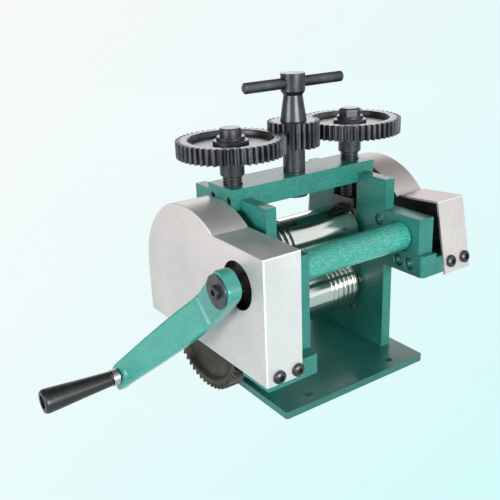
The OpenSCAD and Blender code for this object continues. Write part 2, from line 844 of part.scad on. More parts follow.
module drive_gear() {
    rim_r = drive_r - drive_rim;
    color(BLACKED) translate([0, 0, lower_roll_z]) difference() {
        gear_x(drive_x - drive_face_w, drive_face_w, drive_teeth, drive_module,
            drive_pressure, backlash, drive_turn);
        rod_x(drive_x - drive_face_w - overrun, drive_x + overrun, journal_r + press_gap);
        for (side = [0, 1])
            translate([drive_x - drive_face_w / 2, 0, 0]) mirror([side, 0, 0])
                translate([-drive_face_w / 2 - overrun, 0, 0]) rotate([0, 90, 0]) difference() {
                    cylinder(h = drive_recess + overrun, r1 = rim_r + drive_slope,
                        r2 = rim_r, $fn = SMOOTH);
                    translate([0, 0, -overrun])
                        cylinder(h = drive_recess + 3 * overrun, r = drive_hub_r, $fn = SMOOTH);
                }
    }
}

module tie_gear(z, turn) {
    color(BLACKED) translate([0, 0, z]) difference() {
        gear_x(tie_x, tie_face_w, tie_teeth, tie_module, tie_pressure, tie_backlash, turn);
        rod_x(tie_x - overrun, tie_x + tie_face_w + overrun, journal_r + press_gap);
    }
}

// Ring that closes a journal's end, drawn from x outwards on the side given
module end_ring(z, side, x) {
    translate([0, 0, z]) mirror([side < 0 ? 1 : 0, 0, 0])
        rod_x(x, x + end_ring_t, journal_r + end_ring_lip);
}

module lower_end_rings() {
    color(BLACKED) {
        end_ring(lower_roll_z, -1, drive_face_w + journal_tail - drive_x);
        end_ring(lower_roll_z, 1, tie_end_x);
    }
}

module upper_end_ring() {
    color(BLACKED) end_ring(upper_roll_z, 1, tie_end_x);
}

module lower_tie_gear() {
    tie_gear(lower_roll_z, 90);
}

module upper_tie_gear() {
    tie_gear(upper_roll_z, mesh_turn(90, 90, tie_teeth, tie_teeth));
}

module idler_gear() {
    color(BLACKED) translate([0, idler_y, idler_z]) difference() {
        gear_x(drive_x - drive_face_w, drive_face_w, idler_teeth, drive_module,
            drive_pressure, backlash, 0);
        rod_x(drive_x - drive_face_w - overrun, drive_x + overrun, pin_r + running_gap);
    }
}

// Fixed pin of the idler, with a shoulder that keeps the gear off the side plate
module idler_pin() {
    color(BRIGHT) translate([0, idler_y, idler_z]) {
        rod_x(drive_x - drive_face_w - side_gap, -plate_in_x, pin_r);
        rod_x(drive_x + side_gap, -shaft_block_out_x, pin_head_r);
        rod_x(drive_x - drive_face_w - side_gap - pin_head_t, drive_x - drive_face_w - side_gap,
            pin_head_r);
    }
}

// Small bright hexagon screw in the right side plate
module guide_screw() {
    color(BRIGHT) translate([0, -guide_y, guide_z]) {
        rod_x(plate_in_x - bite, plate_in_x + guide_l, guide_shank_r);
        rod_x(plate_in_x - guide_tip, plate_in_x, guide_r, $fn = 6);
    }
}

module upper_roll() {
    color(BRIGHT) translate([0, 0, upper_roll_z])
        roll(-block_in_x - block_w - journal_tail, tie_x + tie_face_w + journal_tail, false);
}

// Keeper on a bearing block, which the foot of the screw turns in
module keeper(side) {
    color(BLACKED) translate([side * screw_x, 0, block_top_z]) difference() {
        translate([-keeper_w / 2, -keeper_d / 2, 0]) cube([keeper_w, keeper_d, keeper_h]);
        translate([0, 0, -overrun])
            cylinder(h = keeper_floor + overrun, r = foot_r + sliding_gap);
        translate([0, 0, -overrun])
            cylinder(h = keeper_h + 2 * overrun, r = foot_neck_r + sliding_gap);
    }
}

// Adjusting screw: foot, thin neck, threaded length and the shoulder under its gear
module adjusting_screw(side) {
    neck_top = block_top_z + keeper_h + side_gap;
    color(BLACKED) translate([side * screw_x, 0, 0]) {
        translate([0, 0, block_top_z + sliding_gap / 2]) cylinder(h = foot_h, r = foot_r);
        translate([0, 0, block_top_z + sliding_gap / 2])
            cylinder(h = neck_top - block_top_z, r = foot_neck_r);
        translate([0, 0, neck_top])
            cylinder(h = screw_gear_z - neck_top, r = screw_r, $fn = SMOOTH);
        translate([0, 0, screw_gear_z - neck_l])
            cylinder(h = neck_l, r = neck_r, $fn = SMOOTH);
        translate([0, 0, screw_gear_z])
            cylinder(h = screw_gear_t - recess_depth, r = spigot_r, $fn = SMOOTH);
    }
}

// Dished gear on an adjusting screw
module screw_gear(side) {
    dir = side > 0 ? 0 : 180;
    turn = mesh_turn(dir, 0, centre_teeth, screw_teeth);
    color(BLACKED) translate([side * screw_x, 0, screw_gear_z]) difference() {
        rotate([0, 0, turn]) linear_extrude(screw_gear_t)
            polygon(gear_points(screw_teeth, screw_module, drive_pressure, backlash));
        translate([0, 0, screw_gear_t - recess_depth])
            cylinder(h = recess_depth + overrun, r1 = recess_r,
                r2 = recess_r + recess_slope, $fn = SMOOTH);
        translate([0, 0, -overrun])
            cylinder(h = screw_gear_t + 2 * overrun, r = spigot_r + press_gap, $fn = SMOOTH);
    }
}

// Flanged cap that holds the gear on its screw
module screw_cap(side) {
    z = screw_gear_z + screw_gear_t - recess_depth;
    color(BLACKED) translate([side * screw_x, 0, z]) {
        cylinder(h = cap_flange_t - cap_bevel, r = cap_flange_r);
        translate([0, 0, cap_flange_t - cap_bevel])
            cylinder(h = cap_bevel, r1 = cap_flange_r, r2 = cap_flange_r - 2 * cap_bevel);
        cylinder(h = cap_flange_t + cap_head_h, r = cap_head_r, $fn = side > 0 ? 6 : 48);
    }
}

// Tall pinion on its column, with the spindle that turns in the bridge
module centre_pinion() {
    bridge_top = bridge_z + bridge_h;
    color(BLACKED) {
        translate([0, 0, centre_bottom_z]) linear_extrude(centre_top_z - centre_bottom_z)
            polygon(gear_points(centre_teeth, screw_module, drive_pressure, backlash));
        translate([0, 0, bridge_top + side_gap])
            cylinder(h = centre_bottom_z - bridge_top - side_gap, r = column_r);
        translate([0, 0, bridge_z - side_gap - spindle_ring_t])
            cylinder(h = bridge_h + spindle_ring_t + 3 * side_gap, r = spindle_r, $fn = SMOOTH);
        translate([0, 0, bridge_z - side_gap - spindle_ring_t])
            cylinder(h = spindle_ring_t, r = spindle_ring_r);
    }
}

// Turned socket on top of the pinion
module t_socket() {
    head_z = socket_top_z - socket_head_h;
    neck_z = head_z - socket_neck_h;
    color(BLACKED) difference() {
        union() {
            translate([0, 0, centre_top_z])
                cylinder(h = neck_z - centre_top_z, r1 = socket_foot_r, r2 = socket_neck_r);
            translate([0, 0, neck_z])
                cylinder(h = socket_neck_h, r1 = socket_neck_r, r2 = socket_head_r);
            translate([0, 0, head_z]) cylinder(h = socket_head_h, r = socket_head_r);
        }
        translate([0, 0, t_bar_z]) rod_x(-2 * socket_head_r, 2 * socket_head_r,
            t_bar_d / 2 + press_gap);
    }
}

module t_bar() {
    tip = t_bar_d * bar_tip_share;
    color(BLACKED) translate([t_bar_shift, 0, t_bar_z]) {
        rod_x(-t_bar_l / 2 + tip, t_bar_l / 2 - tip, t_bar_d / 2);
        for (side = [0, 1]) mirror([side, 0, 0])
            translate([t_bar_l / 2 - tip, 0, 0]) rotate([0, 90, 0])
                cylinder(h = tip, r1 = t_bar_d / 2, r2 = t_bar_d / 2 - tip);
    }
}

// Crank shaft, with a square end for the arm
module crank_shaft() {
    square_x = arm_face_x - hub_t;
    color(BRIGHT) arm_frame() difference() {
        union() {
            rod_x(-square_x, shaft_block_out_x + collar_t + shaft_tail, shaft_r);
            box(-square_x - shaft_square_end, -square_x + bite, -square_w / 2,
                square_w / 2, -square_w / 2, square_w / 2);
        }
        rod_x(-square_x - shaft_square_end - overrun, -square_x, crank_thread_r + press_gap);
    }
}

module crank_pinion() {
    color(BLACKED) translate([0, -shaft_y, shaft_z]) difference() {
        union() {
            gear_x(drive_x - drive_face_w, drive_face_w, pinion_teeth, drive_module,
                drive_pressure, backlash, pinion_turn);
            rod_x(drive_x - overrun, -shaft_block_out_x - side_gap, pinion_r - 2 * drive_module);
        }
        rod_x(drive_x - drive_face_w - overrun, -shaft_block_out_x, shaft_r + press_gap);
    }
}

module shaft_collar() {
    x = shaft_block_out_x + side_gap;
    color(BLACKED) translate([0, -shaft_y, shaft_z]) difference() {
        rod_x(x, x + collar_t, collar_r);
        rod_x(x - overrun, x + collar_t + overrun, shaft_r + press_gap);
        translate([x + collar_t / 2, 0, 0]) cylinder(h = 2 * collar_r, r = socket_r);
    }
}

// Places what follows in the arm's own frame: along the arm, across it, and outwards
module arm_frame() {
    translate([0, -shaft_y, shaft_z]) rotate([-crank_angle, 0, 0]) children();
}

// A round-cornered slice of the arm at distance s, with its outer face at x
module arm_slice(s, w, x, t) {
    corner = t * arm_corner_share;
    for (sy = [-1, 1], sx = [0, 1])
        translate([-x + corner + sx * (t - 2 * corner), s, sy * (w / 2 - corner)])
            rotate([-90, 0, 0]) cylinder(h = slice_t, r = corner, $fn = 32);
}

// Cast crank arm: flat hub, a bend, and a blade that leans outwards to the grip
module crank_arm() {
    blade_end = crank_throw - arm_end_r;
    lean_step = crank_lean / (crank_throw - arm_bend);
    half_way = (arm_bend + blade_end) / 2;
    boss_x = arm_face_x + crank_lean;
    color(PAINT) arm_frame() difference() {
        union() {
            translate([-arm_face_x, 0, 0]) along_x() linear_extrude(hub_t)
                translate([(arm_bend - hub_back) / 2, 0])
                round_rect(arm_bend + hub_back, hub_w, hub_w * hub_corner_share);
            hull() {
                arm_slice(arm_bend - hub_overlap, arm_waist_w, arm_face_x, hub_t);
                arm_slice(half_way, arm_belly_w,
                    arm_face_x + (half_way - arm_bend) * lean_step, arm_t);
            }
            hull() {
                arm_slice(half_way, arm_belly_w,
                    arm_face_x + (half_way - arm_bend) * lean_step, arm_t);
                arm_slice(crank_throw + arm_end_r - slice_t, arm_end_w, boss_x, arm_t);
                arm_slice(crank_throw, arm_end_w, boss_x, arm_t);
            }
        }
        box(-arm_face_x + hub_t - shaft_square_end - overrun, -arm_face_x + hub_t + overrun,
            -(square_w / 2 + press_gap), square_w / 2 + press_gap,
            -(square_w / 2 + press_gap), square_w / 2 + press_gap);
        rod_x(-arm_face_x - overrun, -arm_face_x + hub_t, crank_thread_r + press_gap);
        translate([0, crank_throw, 0])
            rod_x(-boss_x - arm_t, -boss_x + 2 * arm_t, grip_bolt_r + press_gap);
    }
}

// Washer and screw that hold the arm on the shaft
module crank_bolt() {
    color(BLACKED) arm_frame() difference() {
        union() {
            rod_x(-arm_face_x - washer_t, -arm_face_x, washer_r);
            rod_x(-arm_face_x - washer_t - crank_head_h, -arm_face_x, crank_head_r);
            rod_x(-arm_face_x - washer_t, -arm_face_x + hub_t, crank_thread_r);
        }
        translate([-arm_face_x - washer_t - crank_head_h - overrun, 0, 0])
            rotate([0, 90, 0]) cylinder(h = socket_depth + overrun, r = crank_socket_r, $fn = 6);
    }
}

// Fixed pin and bright collar that the grip turns on
module grip_pin() {
    collar_x = arm_face_x + crank_lean;
    end_x = collar_x + grip_collar_l + grip_l - grip_hole_depth;
    color(BRIGHT) arm_frame() translate([0, crank_throw, 0]) {
        rod_x(-end_x - grip_head_h, -collar_x + arm_t, grip_bolt_r);
        rod_x(-collar_x - grip_collar_l, -collar_x, grip_collar_r);
        rod_x(-end_x - grip_head_h, -end_x - sliding_gap, grip_hole_r - side_gap);
    }
}

// Tapered grip with a recess for the pin's head
module grip() {
    start = arm_face_x + crank_lean + grip_collar_l + side_gap;
    color("black") arm_frame() translate([0, crank_throw, 0]) rotate([0, -90, 0]) difference() {
        translate([0, 0, start]) rotate_extrude($fn = SMOOTH) polygon([
            [0, 0], for (p = grip_shares)
                [grip_start_r + (grip_d / 2 - grip_start_r) * p[1], (grip_l - side_gap) * p[0]],
            [0, grip_l - side_gap]]);
        cylinder(h = start + grip_l, r = grip_bolt_r + running_gap, $fn = SMOOTH);
        translate([0, 0, start + grip_l - side_gap - grip_hole_depth])
            cylinder(h = grip_hole_depth + overrun, r = grip_hole_r);
    }
}

base_plate();
left_side_plate();
right_side_plate();
plate_screws();
bridge();
bridge_grub_screws();
screw_nut(-1);  // left_screw_nut
screw_nut(1);  // right_screw_nut
front_tube();
left_shaft_block();
right_shaft_block();
block_screws();
shaft_bush(-1);  // left_shaft_bush
shaft_bush(1);  // right_shaft_bush
left_cover_bracket();
right_cover_bracket();
left_cover_bar();
right_cover_bar();
bracket_screws();
left_cover();
right_cover();
cover_screws();
color(BRIGHT) mirror([1, 0, 0]) bearing_block(lower_roll_z);  // lower_left_block
color(BRIGHT) bearing_block(lower_roll_z);  // lower_right_block
color(BRONZE) mirror([1, 0, 0]) journal_bush(lower_roll_z);  // lower_left_bush
color(BRONZE) journal_bush(lower_roll_z);  // lower_right_bush
thrust_rings(lower_roll_z);  // lower_thrust_rings
idler_pin();
guide_screw();
lower_roll();
drive_gear();
lower_tie_gear();
lower_end_rings();
idler_gear();
color(BRIGHT) mirror([1, 0, 0]) bearing_block(upper_roll_z);  // upper_left_block
color(BRIGHT) bearing_block(upper_roll_z);  // upper_right_block
color(BRONZE) mirror([1, 0, 0]) journal_bush(upper_roll_z);  // upper_left_bush
color(BRONZE) journal_bush(upper_roll_z);  // upper_right_bush
thrust_rings(upper_roll_z);  // upper_thrust_rings
keeper(-1);  // left_keeper
keeper(1);  // right_keeper
upper_roll();
upper_tie_gear();
upper_end_ring();
adjusting_screw(-1);  // left_screw
screw_gear(-1);  // left_screw_gear
screw_cap(-1);  // left_screw_cap
adjusting_screw(1);  // right_screw
screw_gear(1);  // right_screw_gear
screw_cap(1);  // right_screw_cap
centre_pinion();
t_socket();
t_bar();
crank_shaft();
crank_pinion();
shaft_collar();
crank_arm();
crank_bolt();
grip_pin();
grip();
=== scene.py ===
# %% [markdown]
# # A jeweller's bench rolling mill
# The frame, gears, rolls and crank come from the CAD model. Blender adds the edges,
# threads, paint and light that a plain solid lacks. Lengths are in metres, and the
# small helper `mm` lets each cell speak in millimetres, as a workshop drawing does.

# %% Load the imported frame
import json
import math

import bmesh
import bpy
from mathutils import Matrix, Vector


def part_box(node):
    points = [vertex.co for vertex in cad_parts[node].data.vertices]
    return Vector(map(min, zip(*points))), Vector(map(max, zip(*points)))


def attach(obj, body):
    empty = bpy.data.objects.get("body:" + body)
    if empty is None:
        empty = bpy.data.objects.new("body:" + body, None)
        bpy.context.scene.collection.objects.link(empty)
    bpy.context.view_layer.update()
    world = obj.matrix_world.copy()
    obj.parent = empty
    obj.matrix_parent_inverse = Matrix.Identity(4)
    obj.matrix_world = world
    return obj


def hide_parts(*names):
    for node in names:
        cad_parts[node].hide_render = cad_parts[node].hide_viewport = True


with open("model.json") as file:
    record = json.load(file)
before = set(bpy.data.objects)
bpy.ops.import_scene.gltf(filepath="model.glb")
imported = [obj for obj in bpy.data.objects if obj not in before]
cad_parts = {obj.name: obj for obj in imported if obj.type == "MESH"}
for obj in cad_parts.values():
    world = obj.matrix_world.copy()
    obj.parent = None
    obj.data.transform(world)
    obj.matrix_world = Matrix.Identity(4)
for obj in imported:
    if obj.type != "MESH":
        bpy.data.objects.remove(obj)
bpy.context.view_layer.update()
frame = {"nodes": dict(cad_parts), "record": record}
mm = 0.001
scene = bpy.context.scene
print("pieces of CAD:", len(frame["nodes"]))

# %% [markdown]
# ## Camera
# The photograph was taken from the front left and a little above. The camera's place
# was worked out from the corners of the base and the side plates, so the render can be
# laid over the photograph.

# %% Camera at the photograph's angle
CAMERA_PLACE = Vector((-288.79, -372.72, 258.10)) * mm
VIEW_AZIMUTH, VIEW_ELEVATION, VIEW_ROLL = 33.85, 20.57, -2.33
LENS, SENSOR_WIDTH = 51.14, 36
CLIP_START, CLIP_END = 0.01, 100


def photo_camera():
    a, e, r = (math.radians(v) for v in (VIEW_AZIMUTH, VIEW_ELEVATION, VIEW_ROLL))
    look = Vector((math.sin(a) * math.cos(e), math.cos(a) * math.cos(e), -math.sin(e)))
    level = look.cross(Vector((0, 0, 1))).normalized()
    tall = level.cross(look)
    right = level * math.cos(r) + tall * math.sin(r)
    up = tall * math.cos(r) - level * math.sin(r)
    turn = Matrix((right, up, -look)).transposed().to_4x4()
    data = bpy.data.cameras.new("photo_camera")
    data.lens, data.sensor_width = LENS, SENSOR_WIDTH
    data.clip_start, data.clip_end = CLIP_START, CLIP_END
    camera = bpy.data.objects.new("photo_camera", data)
    camera.matrix_world = Matrix.Translation(CAMERA_PLACE) @ turn
    scene.collection.objects.link(camera)
    scene.camera = camera
    print("camera:", LENS, "mm lens at", [round(v, 4) for v in CAMERA_PLACE])


photo_camera()

# %% [markdown]
# ## Shader maths
# A finish is a sum of small masks. Writing the masks as Python expressions keeps them
# readable: `Socket` wraps one output, and each operator adds one Math node. `Shader` adds
# any other node to a tree, and `Finish` is a shader with a Principled surface.


# %% Small classes for shader maths and finishes
class Socket:
    def __init__(self, tree, out):
        self.tree, self.out = tree, out

    def math(self, kind, other=0.0, swap=False):
        pair = (other, self) if swap else (self, other)
        return self.tree.node("ShaderNodeMath", {"operation": kind}, list(pair))

    def __add__(self, other):
        return self.math("ADD", other)

    def __radd__(self, other):
        return self.math("ADD", other, True)

    def __sub__(self, other):
        return self.math("SUBTRACT", other)

    def __rsub__(self, other):
        return self.math("SUBTRACT", other, True)

    def __mul__(self, other):
        return self.math("MULTIPLY", other)

    def __rmul__(self, other):
        return self.math("MULTIPLY", other, True)

    def __truediv__(self, other):
        return self.math("DIVIDE", other)

    def __rtruediv__(self, other):
        return self.math("DIVIDE", other, True)

    def band(self, low, high):
        """0 below low, 1 above high, and smooth between them."""
        return self.tree.node(
            "ShaderNodeMapRange",
            {"interpolation_type": "SMOOTHSTEP"},
            {0: self, 1: low, 2: high, 3: 0.0, 4: 1.0},
        )


class Shader:
    """A node tree under construction, with one method that adds any node."""

    def __init__(self, tree, coordinates="Object"):
        self.nodes, self.links = tree.nodes, tree.links
        self.place = self.node("ShaderNodeTexCoord", {}, {}, coordinates)

    def node(self, kind, settings, values, output=0):
        made = self.nodes.new(kind)
        for key, value in settings.items():
            setattr(made, key, value)
        pairs = enumerate(values) if isinstance(values, list) else values.items()
        for key, value in pairs:
            self.feed(made.inputs[key], value)
        return Socket(self, made.outputs[output])

    def feed(self, socket, value):
        if isinstance(value, Socket):
            self.links.new(value.out, socket)
        else:
            socket.default_value = value

    def stretch(self, scale):
        return self.node("ShaderNodeMapping", {}, {0: self.place, 3: scale})

    def noise(self, scale, detail=3.0, rough=0.5, where=None):
        return self.node(
            "ShaderNodeTexNoise",
            {},
            {"Vector": where or self.place, "Scale": scale, "Detail": detail, "Roughness": rough},
        )

    def blend(self, mask, low, high):
        """A colour that goes from low to high with the mask."""
        return self.node(
            "ShaderNodeMix",
            {"data_type": "RGBA"},
            {0: mask, 6: low, 7: high},
            2,
        )

    def bump(self, height, depth, strength=0.5):
        return self.node(
            "ShaderNodeBump", {}, {"Strength": strength, "Distance": depth, "Height": height}
        )


class Finish(Shader):
    """A material with a Principled surface, to which masks and colours are fed."""

    def __init__(self, name):
        self.material = bpy.data.materials.new(name)
        self.material.use_nodes = True
        super().__init__(self.material.node_tree)
        self.surface = self.nodes["Principled BSDF"]

    def set(self, **values):
        for key, value in values.items():
            self.feed(self.surface.inputs[key.replace("_", " ")], value)


def rgb(r, g, b):
    """A colour from 0 to 255, turned by the sRGB curve to the light it stands for."""
    return tuple(
        (c / 255 / 12.92) if c <= 10 else ((c / 255 + 0.055) / 1.055) ** 2.4 for c in (r, g, b)
    ) + (1.0,)


# %% [markdown]
# ## Paint
# The frame is sprayed in a satin teal-green. It dries with a faint orange peel and a little
# colour drift. An image could show both, but noise in the object's own space needs no unwrapping
# and runs on round every edge. The large noise moves the colour, and the two fine ones speckle it
# and make the peel. The base is coloured darker as painted shade, and the cast arm is a shade
# lighter with a glossier coat.

# %% Satin teal-green paint
def paint_finish(name, light, dark, rough, peel, coat=0.3):
    f = Finish(name)
    drift = f.noise(45.0, 3.0)
    speckle = f.noise(1100.0, 2.0, 0.7)
    dimple = f.noise(620.0, 2.0, 0.6)
    colour = f.blend((drift * 0.3 + speckle * 0.7).band(0.34, 0.66), dark, light)
    f.set(
        Base_Color=colour,
        Roughness=rough + dimple * 0.2,
        Normal=f.bump(dimple * 0.7 + speckle * 0.3, peel, 0.6),
        Coat_Weight=coat,
        Coat_Roughness=0.15,
    )
    return f.material


paint = paint_finish("teal_paint", rgb(44, 134, 122), rgb(24, 98, 90), 0.3, 0.00022)
# Darker paint of the base: painted shade under the machine
painted_shade_base_paint = paint_finish("painted_shade_base_paint", rgb(36, 112, 103), rgb(19, 82, 75), 0.26, 0.00016, 0.5)
cast_paint = paint_finish(
    "cast_arm_paint", rgb(54, 152, 138), rgb(38, 128, 118), 0.3, 0.0001, 0.9
)
print("paints:", paint.name, painted_shade_base_paint.name, cast_paint.name)

# %% [markdown]
# ## Hammered paint
# The tube across the front has a hammered finish, a paint that draws together into small
# raised strokes as it dries. Modelled strokes would cost many triangles, so noise that is
# drawn out along the tube makes them in the bump and in the colour, and a smooth coat lets
# each one catch the lamps.

# %% Hammered paint on the tube
def hammer_finish():
    f = Finish("hammered_teal")
    strokes = f.noise(1300.0, 2.0, 0.5, f.stretch((0.45, 1.0, 1.0)))
    fine = f.noise(1300.0, 2.0, 0.6)
    drift = f.noise(60.0, 2.0)
    grain = strokes.band(0.32, 0.68) * 0.8 + fine * 0.2
    tone = (grain * 0.7 + drift * 0.3).band(0.2, 0.8)
    f.set(
        Base_Color=f.blend(tone, rgb(44, 152, 136), rgb(68, 182, 164)),
        Roughness=0.2 + drift * 0.1,
        Normal=f.bump(grain, 0.0005, 1.0),
        Coat_Weight=0.8,
        Coat_Roughness=0.12,
    )
    return f.material


hammered = hammer_finish()
print("tube paint:", hammered.name)

# %% [markdown]
# ## Sheet of the covers
# The covers are folded from satin sheet, which real use clouds and marks. A cloudy noise and a
# fine grain vary its tone and roughness, and a sparse one leaves dull marks. The right cover's
# sheet is coloured darker and warmer as painted shade, and the folds are coloured lighter than
# the flats as a painted highlight.

# %% Satin sheet of the covers
def sheet_finish(name, light, dark):
    f = Finish(name)
    grain = f.noise(900.0, 3.0, 0.7)
    cloud = f.noise(22.0, 3.0, 0.6)
    marks = f.noise(30.0, 6.0, 0.8).band(0.62, 0.74)
    tone = cloud * 0.5 + grain * 0.5
    colour = f.blend(tone.band(0.3, 0.7), dark, light)
    f.set(
        Base_Color=f.blend(marks * 0.3, colour, rgb(146, 146, 150)),
        Roughness=0.36 + tone * 0.12,
        Normal=f.bump(grain, 0.00008, 0.4),
        Metallic=0.75,
    )
    return f.material


sheet = sheet_finish("satin_sheet", rgb(230, 222, 220), rgb(210, 203, 202))
# Darker, warmer sheet of the right cover: painted shade
painted_shade_sheet = sheet_finish("painted_shade_sheet", rgb(216, 202, 200), rgb(196, 184, 182))
# Lighter sheet on the rounded folds: a painted highlight
painted_highlight_fold = sheet_finish("painted_highlight_fold", rgb(246, 243, 241), rgb(228, 225, 225))
print("sheets:", sheet.name, painted_shade_sheet.name, painted_highlight_fold.name)

# %% [markdown]
# ## Painted shade inside
# The inside of the covers and the sockets of their screws are coloured near-black as painted
# shade. A coarse noise with a narrow band scatters lighter specks over it, and its bump keeps it
# from looking like a hole.


# %% Near-black painted shade inside the covers
def inner_shade_finish():
    f = Finish("painted_inner_shade")
    speck = f.noise(420.0, 4.0, 0.75)
    f.set(
        # Near-black painted shade, with lighter specks scattered by the noise
        Base_Color=f.blend(speck.band(0.62, 0.72), rgb(20, 21, 22), rgb(70, 72, 74)),
        Roughness=0.3 + speck * 0.3,
        Normal=f.bump(speck, 0.0004, 0.6),
    )
    return f.material


inner_shade = inner_shade_finish()
print("lining:", inner_shade.name)

# %% [markdown]
# ## Blacked steel
# The gears, caps and handle are blacked steel, as a hot salt bath and oil would leave it,
# and the bearing blocks are ground and bare. One recipe serves all of them, because they
# differ only in colour, roughness and oil: a cloud varies the tone, a fine noise gives the
# machined grain, and the coat stands for the oil.


# %% Blacked steel of the gears, screws and handle
def black_finish(name, light, dark, rough, scale, coat=0.0):
    f = Finish(name)
    cloud = f.noise(scale, 4.0, 0.6)
    fine = f.noise(1800.0, 2.0)
    f.set(
        Base_Color=f.blend(cloud.band(0.35, 0.7), dark, light),
        Roughness=rough + cloud * 0.18,
        Normal=f.bump(fine, 0.00004, 0.3),
        Coat_Weight=coat,
        Coat_Roughness=0.2,
        Metallic=0.75,
    )
    return f.material


blacked = black_finish("black_oxide", rgb(86, 86, 90), rgb(54, 54, 58), 0.28, 60.0, 0.35)
dark_oxide = black_finish("dark_oxide", rgb(66, 66, 70), rgb(42, 42, 46), 0.3, 60.0, 0.3)
gear_black = black_finish("gear_black", rgb(86, 79, 73), rgb(58, 53, 48), 0.4, 90.0)
block_steel = black_finish("ground_block", rgb(128, 122, 112), rgb(88, 84, 78), 0.3, 70.0)
print("dark metals:", blacked.name, dark_oxide.name, gear_black.name, block_steel.name)

# %% [markdown]
# ## Rolls, bright steel and bronze
# A lathe or a grinder leaves fine rings round the part. The rolls and shafts lie along X,
# so a noise that changes quickly along X and slowly across it draws those rings, without a
# texture to line up. The rolls are smooth enough to mirror the lamps.


# %% Mirror-ground rolls, bright steel and bronze
def bright_finish(name, light, dark, rough, lines, scratch=0.00001):
    f = Finish(name)
    turned = f.noise(40.0, 3.0, 0.6, f.stretch(lines))
    stain = f.noise(30.0, 3.0)
    f.set(
        Base_Color=f.blend(stain.band(0.3, 0.75), dark, light),
        Roughness=rough + turned * 0.06,
        Normal=f.bump(turned, scratch, 0.6),
        Metallic=1.0,
    )
    return f.material


roll_steel = bright_finish(
    "ground_roll", rgb(226, 222, 216), rgb(206, 202, 197), 0.1, (110, 1, 1), 0.00003
)
bright = bright_finish("bright_steel", rgb(205, 205, 205), rgb(170, 170, 170), 0.2, (60, 1, 1))
bronze = bright_finish("turned_bronze", rgb(190, 150, 98), rgb(150, 112, 66), 0.3, (60, 1, 1))
print("bright metals:", roll_steel.name, bright.name, bronze.name)

# %% [markdown]
# ## Grip
# The grip is a moulded black plastic that turns on its pin. The CAD already gives its
# form, so it only needs a satin surface with a faint grain.


# %% Satin plastic of the grip
def grip_finish():
    f = Finish("grip_plastic")
    fine = f.noise(1200.0, 2.0)
    f.set(
        Base_Color=f.blend(f.noise(80.0, 2.0).band(0.3, 0.7), rgb(22, 22, 23), rgb(34, 34, 35)),
        Roughness=0.3 + fine * 0.1,
        Normal=f.bump(fine, 0.00003, 0.3),
    )
    return f.material


grip_plastic = grip_finish()
print("grip:", grip_plastic.name)

# %% [markdown]
# ## Edges
# A machined or painted edge is never a knife edge: it catches a thin line of light. Each
# CAD node is copied, its loose triangles are joined, and a small bevel rounds the edges.
# The copy then stands for the node, which stays as it was for the physics.
# A folded cover is a special case. Its CAD sheet comes as solids that share walls, so the
# walls are dropped first, and only its outer folds are rounded.


# %% Copy a CAD node and round its edges
WELD = 0.000002
EDGE_ANGLE, FLAT_ANGLE = 32, 0.5
SAME_PLANE, ACROSS = 0.99, 0.7
BACKWARD = -0.5
LEAST_FOLD_FACE = 15 * mm * mm
# Numbers of the finishes on a cover
SHEET, INNER_SHADE, FOLD = 0, 1, 2


def plain(obj, name, material, body, nodes):
    """Freezes an object's modifiers into one mesh, and hands it to the frame."""
    bpy.context.view_layer.update()
    seen = obj.evaluated_get(bpy.context.evaluated_depsgraph_get())
    mesh = bpy.data.meshes.new_from_object(seen)
    piece = bpy.data.objects.new(name, mesh)
    scene.collection.objects.link(piece)
    bpy.data.objects.remove(obj)
    if material:
        mesh.materials.clear()
        mesh.materials.append(material)
        for face in mesh.polygons:
            face.material_index = 0
    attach(piece, body)
    if nodes:
        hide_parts(*nodes)
    return piece


BODY_OF = {n: b for b, group in frame["record"]["behaviour"]["bodies"].items() for n in group}
SLOT_OF = {s["node"]: s["material_slot"] for s in frame["record"]["subparts"]}


def drop_inner_walls(bm):
    """A wall inside the sheet meets two faces that lie in one plane, and it is deleted.
    The faces that this leaves hanging go too, and the gaps are closed again."""
    bm.normal_update()
    walls = set()
    for edge in bm.edges:
        if len(edge.link_faces) == 3:
            for face in edge.link_faces:
                a, b = (other for other in edge.link_faces if other is not face)
                in_plane = a.normal.dot(b.normal) > SAME_PLANE
                if in_plane and abs(face.normal.dot(a.normal)) < ACROSS:
                    walls.add(face)
    bmesh.ops.delete(bm, geom=list(walls), context="FACES")
    ends = [f for f in bm.faces if sum(len(e.link_faces) == 1 for e in f.edges) > 1]
    bmesh.ops.delete(bm, geom=ends, context="FACES")
    gaps = [e for e in bm.edges if len(e.link_faces) == 1]
    bmesh.ops.holes_fill(bm, edges=gaps, sides=0)
    bmesh.ops.recalc_face_normals(bm, faces=bm.faces)
    return len(walls) + len(ends)


def mark_folds(bm, middle):
    """An outer fold gets a bevel weight and stays smooth, and every other fold is sharp.
    middle is a point inside the cover."""
    layer = bm.edges.layers.float.new("bevel_weight_edge")
    bm.normal_update()
    for edge in bm.edges:
        if len(edge.link_faces) == 2 and edge.calc_face_angle(0) > math.radians(EDGE_ANGLE):
            outer = all(
                f.normal.dot(f.calc_center_median() - middle) > 0
                and f.normal.x * middle.x > BACKWARD * abs(middle.x)
                and f.calc_area() > LEAST_FOLD_FACE
                for f in edge.link_faces
            )
            edge[layer] = 1.0 if outer else 0.0
            edge.smooth = outer


